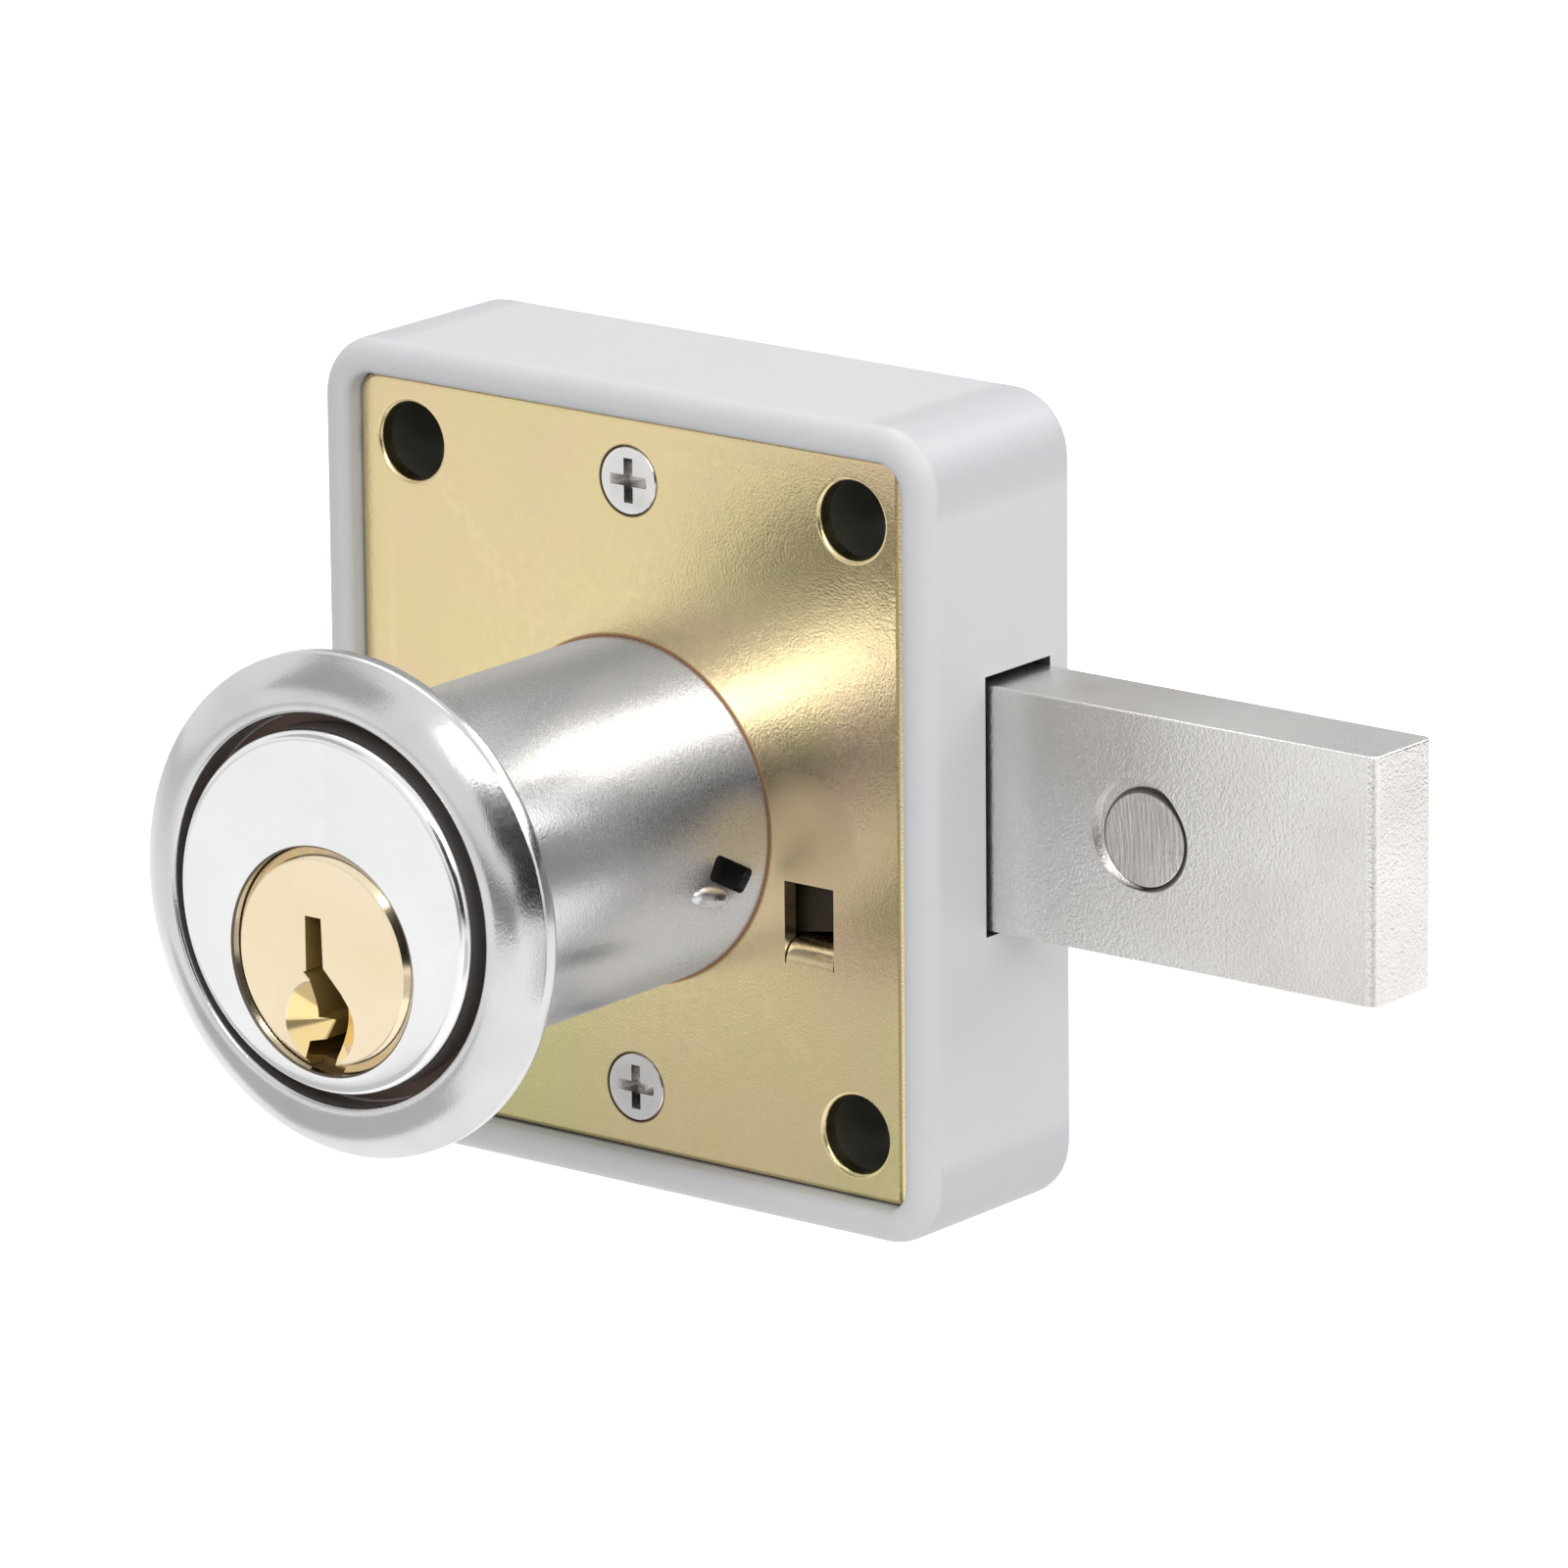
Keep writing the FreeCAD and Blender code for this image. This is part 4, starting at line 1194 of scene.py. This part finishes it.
    def ring(self) -> Thing:
        """Turn the domed trim ring.

        Returns:
            The ring.
        """
        edge, lip = self.ring_edge, self.ring_lip
        stations = [(self.ring_hole, self.ring_back)]
        stations += corner_arc((self.ring_r - edge, self.ring_back - edge), edge, 90, 0, steps=4)
        stations += self.dome()
        stations += corner_arc((self.ring_recess + lip, self.ring_crest + lip), lip, -90, -180, steps=6)
        stations += [(self.ring_recess, self.ring_floor), (self.ring_hole, self.ring_floor)]
        return turned("ring_dome", stations, TUBE_SIDES)

    def dome(self) -> list[Pair]:
        """Lay out the ring's sloped face: rounded at the rim, then slightly crowned up to the crest.

        Returns:
            The stations in order.
        """
        edge, crest = self.dome_edge, self.ring_recess + self.crest_width
        stations = corner_arc((self.ring_r - edge, self.ring_back - self.ring_rim + edge), edge, 0, -55, steps=5)
        start_r, start_y = stations[-1]
        for step in range(1, self.dome_steps + 1):
            share = step / self.dome_steps
            crown = self.dome_crown * math.sin(share * math.pi)
            stations.append((start_r + (crest - start_r) * share,
                             start_y + (self.ring_crest - start_y) * share - crown))
        return stations

    def make(self) -> None:
        """Make the barrel's pieces and hand them over."""
        sleeve = self.sleeve()
        combine(sleeve, [self.stake_hole()], Cut.TAKE_AWAY)
        combine(sleeve, [self.stake_lip()], Cut.ADD)
        self.deliver(finish_mesh(sleeve), Body.LOCK, "sleeve_nickel", "barrel_sleeve")
        housing = self.housing()
        combine(housing, self.housing_cuts(), Cut.TAKE_AWAY)
        self.deliver(finish_mesh(housing), Body.LOCK, "head_chrome", "cylinder_housing")
        self.deliver(finish_mesh(self.ring()), Body.RING, "ring_chrome", "trim_ring")


@dataclass
class Plug(Piece):
    """Brass plug with its keyway, the dish that guides the key and the clip's groove."""

    collar_r: float = 6.35 * MM
    collar: float = 1.5 * MM
    chamfer: float = 0.6 * MM
    soft: float = 0.06 * MM
    body_r: float = 5.95 * MM
    groove_r: float = 5.2 * MM
    groove: Pair = mm(0.6, 1.28)
    end: float = 1.88 * MM
    tang_r: float = 3.3 * MM
    tang_flat: float = 2.2 * MM
    tang_end: float = 4.4 * MM
    dish_r: float = 2.45 * MM
    dish_depth: float = 1.3 * MM
    dish_x: float = -0.22 * MM
    dish_drop: float = 3.55 * MM
    keyway_end: float = -1.55 * MM
    keyway_within: float = 0.6 * MM
    keyway: tuple[Pair, ...] = (
        (-0.01, 2.45), (0.09, -0.35), (1.35, -1.6), (1.85, -2.3), (1.55, -3.2), (1.25, -4.0), (0.85, -5.3),
        (0.85, -7.35), (-1.3, -7.35), (-1.3, -4.8), (-0.35, -4.6), (-0.1, -3.6), (-1.03, -3.5), (-0.88, -1.15),
        (-1.35, -0.75), (-1.13, -0.7), (-1.13, 2.45))
    tail_hole: float = 1.2 * MM
    tail_hole_start: float = -0.24 * MM
    crisp: float = math.radians(24)

    def blank(self) -> Thing:
        """Turn the plug and add its flatted tang.

        Returns:
            The plug before it is cut.
        """
        z, soft, front, shoulder = self.plug_z, self.soft, self.head_front, self.head_front + self.collar
        lip = self.collar_r - self.chamfer
        stations = [(lip - soft, front), (lip + soft * 0.7, front + soft * 0.5), (self.collar_r, front + self.chamfer),
                    (self.collar_r, shoulder), (self.body_r, shoulder), (self.body_r, self.groove[0]),
                    (self.groove_r, self.groove[0]), (self.groove_r, self.groove[1]), (self.body_r, self.groove[1]),
                    (self.body_r, self.end)]
        piece = turned("plug_barrel", stations, sides=128, closed=False, axis_z=z)
        tang = bar("tang", self.tang_r, (self.end - MM, self.tang_end), (0, z), sides=64)
        flats = block("flats", (-self.tang_flat, 0, -MM * 10), (self.tang_flat, MM * 6, MM * 10))
        combine(tang, [flats], Cut.KEEP)
        combine(piece, [tang], Cut.ADD)
        return piece

    def make(self) -> None:
        """Turn the plug, cut it and hand it over."""
        piece, z, front = self.blank(), self.plug_z, self.head_front
        outline = [(x * MM, z + height * MM) for x, height in self.keyway]
        cuts = [cut_out("keyway", outline, front - MM, self.keyway_end),
                bar("dish", self.dish_r * (1 + MM / self.dish_depth), (front - MM, front + self.dish_depth),
                    (self.dish_x, z - self.dish_drop), sides=72, far_radius=0.0),
                bar("tail_hole", self.tail_hole, (self.tail_hole_start, self.tang_end + MM), (0, z), sides=40)]
        combine(piece, cuts + self.chambers(z, z + self.body_r + MM), Cut.TAKE_AWAY)
        self.deliver(finish_mesh(piece, self.crisp), Body.PLUG, "plug_brass", "cylinder_plug")
        # Painted shade on the keyway walls.
        self.line(piece, "keyway_wall", self.in_keyway)

    def in_keyway(self, face: Any) -> bool:
        """Tell whether a face is a broached keyway wall.

        Args:
            face: The mesh face.

        Returns:
            Whether it runs along Y inside the plug's skin.
        """
        middle = face.calc_center_median()
        return (abs(face.normal.y) < SIDEWAYS and middle.y < self.keyway_end
                and math.hypot(middle.x, middle.z - self.plug_z) < self.body_r - self.keyway_within)


@dataclass
class Bolt(Piece):
    """Thrown deadbolt with its head in the case, the crank's pocket and the flush pin."""

    front: float = 5.5 * MM
    back: float = 11.0 * MM
    bottom: float = -4.42 * MM
    top: float = 9.68 * MM
    left: float = 7.5 * MM
    tip: float = 48.1 * MM
    edge: float = 0.6 * MM
    long_edge: float = 0.13 * MM
    head_right: float = 18.5 * MM
    head_bottom: float = -5.6 * MM
    head_top: float = 13.2 * MM
    pocket_centre: Pair = mm(13.0, 3.8)
    pocket_half: Pair = mm(4.6, 8.4)
    web: float = 1.2 * MM
    pin_centre: Pair = mm(32.6, 2.63)
    pin_r: float = 2.75 * MM
    pin_gap: float = 0.006 * MM
    pin_edge: float = 0.12 * MM
    seat_edge: float = 0.18 * MM
    sink_r: float = 3.15 * MM
    sink_depth: float = 0.42 * MM
    sink_shift: float = 0.38 * MM

    def pocket(self) -> Thing:
        """Make the oval tool that sinks the crank's pocket.

        Returns:
            The tool.
        """
        depth = self.back - self.web - self.front + MM
        clear_selection()
        bpy.ops.mesh.primitive_cylinder_add(vertices=80, radius=1, depth=1, rotation=Axis.Y.value)
        tool = bpy.context.object
        tool.scale = (*self.pocket_half, depth)
        tool.location = (self.pocket_centre[0], self.front - MM + depth / 2, self.pocket_centre[1])
        return named("pocket")

    def make(self) -> None:
        """Make the bolt and its pin and hand them over."""
        piece = block("bolt_bar", (self.left, self.front, self.bottom), (self.tip, self.back, self.top))
        round_edges(piece, lambda edge: runs_along(edge, 2), self.edge, steps=6)
        round_edges(piece, is_folded, self.long_edge, steps=3)
        head = block("bolt_head", (self.left, self.front, self.head_bottom),
                     (self.head_right, self.back, self.head_top))
        round_edges(head, lambda edge: runs_along(edge, 1), self.edge, steps=5)
        combine(piece, [head], Cut.ADD)
        spot, start = self.pin_centre, self.front - MM
        sunk = (spot[0] - self.sink_shift, spot[1] + self.sink_shift / 2)
        cuts = [self.pocket(),
                bar("pin_hole", self.pin_r + self.pin_gap, (start, self.back + MM), spot, PIN_SIDES),
                bar("pin_sink", self.sink_r, (start, self.front + self.sink_depth), sunk, PIN_SIDES),
                bar("pin_seat", self.pin_r + self.seat_edge, (self.front - HAIR, self.front + self.seat_edge), spot,
                    PIN_SIDES, self.pin_r)]
        combine(piece, cuts, Cut.TAKE_AWAY)
        self.deliver(finish_mesh(piece), Body.BOLT, "bolt_nickel", "bolt")
        pin = bar("bolt_stud", self.pin_r, (self.front, self.back), spot, PIN_SIDES)
        round_edges(pin, is_folded, self.pin_edge, steps=2)
        self.deliver(finish_mesh(pin), Body.BOLT, "bolt_pin_nickel", "bolt_pin")


@dataclass
class PlateScrews(Piece):
    """The two countersunk screws that hold the plate, with pressed cross recesses."""

    x: float = 0.15 * MM
    head: float = 1.98 * MM
    shank: float = 1.25 * MM
    length: float = 8.5 * MM
    soft: float = 0.08 * MM
    tip: float = 0.4 * MM
    cross: Point = mm(0.66, 2.75, 1.1)
    proud: float = 0.2 * MM
    taper: Pair = (0.72, 0.55)

    def blade(self, upright: bool) -> Thing:
        """Make one blade of the driver, narrower and shorter at its tip.

        Args:
            upright: Whether it is the upright one.

        Returns:
            The blade.
        """
        width, span, depth = self.cross
        half_x, half_z = (width / 2, span / 2) if upright else (span / 2, width / 2)
        narrow_x, narrow_z = self.taper if upright else self.taper[::-1]
        x, z, tip = self.x, self.hole_rows[0], self.plate_front + depth
        tool = block("driver_blade", (x - half_x, self.plate_front - self.proud, z - half_z),
                     (x + half_x, tip, z + half_z))
        with editing(tool):
            choose(tool, Parts.FACES, lambda face: face.normal.y > FACING)
            bpy.ops.transform.resize(value=(narrow_x, 1, narrow_z), center_override=(x, tip, z))
        return tool

    def make(self) -> None:
        """Turn one screw, press its recess, copy it and hand both over."""
        front, z = self.plate_front, self.hole_rows[0]
        lip, end = front + self.screw_lip, front + self.length
        stations = [(self.head - self.soft, front), (self.head, front + self.soft), (self.head, lip),
                    (self.shank, lip + self.head - self.shank), (self.shank, end - self.tip), (self.shank * 0.7, end)]
        lower = turned("plate_screw_lower", stations, sides=72, closed=False, axis_z=z)
        lower.location.x = self.x
        settle(lower)
        combine(lower, [self.blade(True), self.blade(False)], Cut.TAKE_AWAY)
        finish_mesh(lower)
        upper = copied(lower, "plate_screw_upper", (0, 0, self.hole_rows[1] - z))
        self.deliver(lower, Body.LOCK, "screw_nickel", "cover_plate_screw_bottom")
        self.deliver(upper, Body.LOCK, "screw_nickel", "cover_plate_screw_top")


@dataclass
class PinSprings(Piece):
    """Five wound springs above the driver pins; the lowest coil of each rises with its pin."""

    low: float = 5.44 * MM
    high: float = 8.26 * MM
    outer: float = 1.3 * MM
    wire: float = 0.15 * MM
    rise: float = 0.33 * MM
    wire_sides: int = 10
    turn_steps: int = 28

    def wind(self, name: str, foot: float, turns: int) -> Thing:
        """Wind a coil.

        Args:
            name: The coil's name.
            foot: Height of its underside.
            turns: Number of turns.

        Returns:
            The finished coil at the first pin.
        """
        clear_selection()
        bpy.ops.mesh.primitive_circle_add(vertices=self.wire_sides, radius=self.wire,
                                          location=(self.outer - self.wire, 0, foot + self.wire),
                                          rotation=Axis.Y.value)
        spring = named(name)
        coil = spring.modifiers.new("coil", "SCREW")
        coil.screw_offset = self.rise
        coil.iterations = turns
        coil.steps = coil.render_steps = self.turn_steps
        bpy.ops.object.modifier_apply(modifier=coil.name)
        with editing(spring, Parts.VERTS):
            bpy.ops.mesh.select_non_manifold()
            bpy.ops.mesh.edge_face_add()
            close_skin()
            bpy.ops.transform.translate(value=(0, self.first_pin, 0))
        return finish_mesh(spring)

    def make(self) -> None:
        """Wind the upper coils and the foot coil, copy them for every pin and hand all over."""
        upper_foot = self.high - 2 * self.wire - 2 * self.rise
        uppers = [self.wind("wound_spring_1", upper_foot, turns=2)]
        feet = [self.wind("spring_foot_1", self.low, turns=1)]
        for number in range(1, self.pins):
            step = (0, number * self.pin_pitch, 0)
            uppers.append(copied(uppers[0], f"wound_spring_{number + 1}", step))
            feet.append(copied(feet[0], f"spring_foot_{number + 1}", step))
        for number, (upper, foot) in enumerate(zip(uppers, feet), 1):
            self.deliver(upper, Body.LOCK, "spring_steel", f"pin_spring_{number}")
            self.deliver(foot, Body(f"driver_{number}"), "spring_steel")


def dress_nodes(frame: dict[str, Any], finishes: dict[str, Material]) -> None:
    """Give every node of the frame the finish of its slot.

    Args:
        frame: The loaded frame.
        finishes: Materials by slot.
    """
    for part in frame["record"]["subparts"]:
        for slot in frame["nodes"][part["node"]].material_slots:
            slot.material = finishes[part["material_slot"]]
        log.info("%s: %s", part["node"], part["material_slot"])


# ---- Studio


@dataclass
class Studio:
    """Plain pale floor, white surroundings, soft lamps and the camera of the photograph."""

    floor_z: float = -0.11
    floor_size: float = 12.0
    floor_seen: float = 0.95
    floor_mirrored: float = 0.27
    surround_light: float = 0.5
    lens: float = 281.43
    sensor: float = 36.0
    clip: Pair = (0.01, 50.0)
    eye: Point = (0.4172651, -0.5133201, 0.1820959)
    azimuth: float = 38.295
    elevation: float = 15.262
    roll: float = -0.541
    lamps: tuple[Panel, ...] = (
        ("right_strip_softbox", (0.55, 0.0, 0.42), (1.8, 0.30), 3.5),
        ("front_right_softbox", (0.247, -0.76, 0.602), (0.36, 0.20), 2.0),
        ("back_right_softbox", (0.247, 0.76, 0.602), (0.34, 0.20), 1.25),
        ("top_softbox", (-0.2, 0.1, 0.9), (0.5, 0.5), 3.0),
    )
    cards: tuple[Panel, ...] = (
        ("right_front_card", (0.263, -0.246, 0.050), (0.27, 0.185), 0.01),
        ("near_ring_card", (0.0564, -0.094, 0.0397), (0.060, 0.048), 0.01),
        ("low_front_card", (0.045, -0.35, -0.044), (0.21, 0.07), 0.25),
        ("right_back_card", (0.212, 0.253, 0.042), (0.24, 0.165), 0.03),
        ("back_left_card", (-0.4, 0.9, 0.45), (0.9, 0.7), 0.50),
        ("front_left_card", (-0.62, -0.62, 0.55), (0.6, 0.5), 0.52),
        ("low_right_card", (0.17, -0.10, -0.10), (0.16, 0.12), 0.7),
        ("low_left_card", (-0.045, -0.050, -0.052), (0.09, 0.05), 0.64),
    )

    def place_camera(self) -> None:
        """Put the camera where the photograph was taken from."""
        az, el, roll = (math.radians(v) for v in (self.azimuth, self.elevation, self.roll))
        forward = Vector((-math.sin(az) * math.cos(el), math.cos(az) * math.cos(el), -math.sin(el)))
        right = Vector((math.cos(az), math.sin(az), 0))
        up = right.cross(forward)
        across = right * math.cos(roll) + up * math.sin(roll)
        upright = up * math.cos(roll) - right * math.sin(roll)
        turn = Matrix((across, upright, -forward)).transposed().to_4x4()
        bpy.ops.object.camera_add()
        camera = bpy.context.object
        camera.matrix_world = Matrix.Translation(Vector(self.eye)) @ turn
        camera.data.lens = self.lens
        camera.data.sensor_width = self.sensor
        camera.data.clip_start, camera.data.clip_end = self.clip
        bpy.context.scene.camera = camera

    def lay_floor(self) -> None:
        """Lay the floor, white to the lens and pale to the lamps."""
        clear_selection()
        bpy.ops.mesh.primitive_plane_add(size=self.floor_size, location=(0, 0, self.floor_z))
        floor = named("floor")
        material = bpy.data.materials.new("pale_floor")
        draft = emptied(material)
        rays = draft.add("LightPath").outputs
        matt = draft.add("BsdfDiffuse", {"Color": grey(0.8)})
        lens = draft.maths("MULTIPLY", rays["Is Camera Ray"], self.floor_seen)
        gloss = draft.maths("MULTIPLY", rays["Is Glossy Ray"], self.floor_mirrored)
        glow = draft.add("Emission", {"Color": grey(1.0), "Strength": draft.maths("MAXIMUM", lens, gloss)})
        both = draft.add("AddShader", {0: matt.outputs[0], 1: glow.outputs[0]})
        draft.add("OutputMaterial", {0: both.outputs[0]})
        floor.data.materials.append(material)

    def light_world(self) -> None:
        """Make the surroundings white to the lens and to gloss, and soft on matt paint."""
        world = bpy.data.worlds.new("white_surroundings")
        bpy.context.scene.world = world
        draft = emptied(world)
        rays = draft.add("LightPath").outputs
        seen = draft.maths("MAXIMUM", rays["Is Camera Ray"], rays["Is Glossy Ray"])
        seen = draft.maths("MAXIMUM", seen, rays["Is Transmission Ray"])
        level = draft.spread(seen, 0.0, 1.0, self.surround_light, 1.0)
        back = draft.add("Background", {"Color": grey(1.0), "Strength": level})
        draft.add("OutputWorld", {0: back.outputs[0]})

    def hang_lamps(self) -> None:
        """Hang the soft lamps, turned to the lock."""
        for name, place, size, power in self.lamps:
            bpy.ops.object.light_add(type="AREA", location=place)
            lamp = bpy.context.object
            lamp.name = name
            lamp.data.shape = "RECTANGLE"
            lamp.data.size, lamp.data.size_y = size
            lamp.data.energy = power
            lamp.rotation_euler = (-Vector(place)).to_track_quat("-Z", "Y").to_euler()

    def stand_cards(self) -> None:
        """Stand dark and grey cards that only the polished metal sees."""
        for name, place, size, level in self.cards:
            material = bpy.data.materials.new(name)
            draft = emptied(material)
            glow = draft.add("Emission", {"Color": grey(level), "Strength": 1.0})
            draft.add("OutputMaterial", {0: glow.outputs[0]})
            clear_selection()
            turn = (-Vector(place)).to_track_quat("-Z", "Y").to_euler()
            bpy.ops.mesh.primitive_plane_add(size=1, location=place, rotation=turn)
            bpy.context.object.scale = (*size, 1)
            card = named(name)
            card.data.materials.append(material)
            card.visible_camera = card.visible_diffuse = card.visible_shadow = False

    def make(self) -> None:
        """Set up the whole studio."""
        bpy.context.scene.view_settings.view_transform = "Standard"
        self.place_camera()
        self.lay_floor()
        self.light_world()
        self.hang_lamps()
        self.stand_cards()


def main() -> None:
    """Build the lock and its studio."""
    logging.basicConfig(level=logging.INFO, format="%(name)s %(message)s")
    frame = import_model()
    effects = Effects()
    finishes = {finish.slot: finish.build(effects) for finish in FINISHES}
    dress_nodes(frame, finishes)
    for kind in (Case, CoverPlate, Barrel, Plug, Bolt, PlateScrews, PinSprings):
        kind(finishes).make()
    Studio().make()
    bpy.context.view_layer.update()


if __name__ == "__main__":
    main()
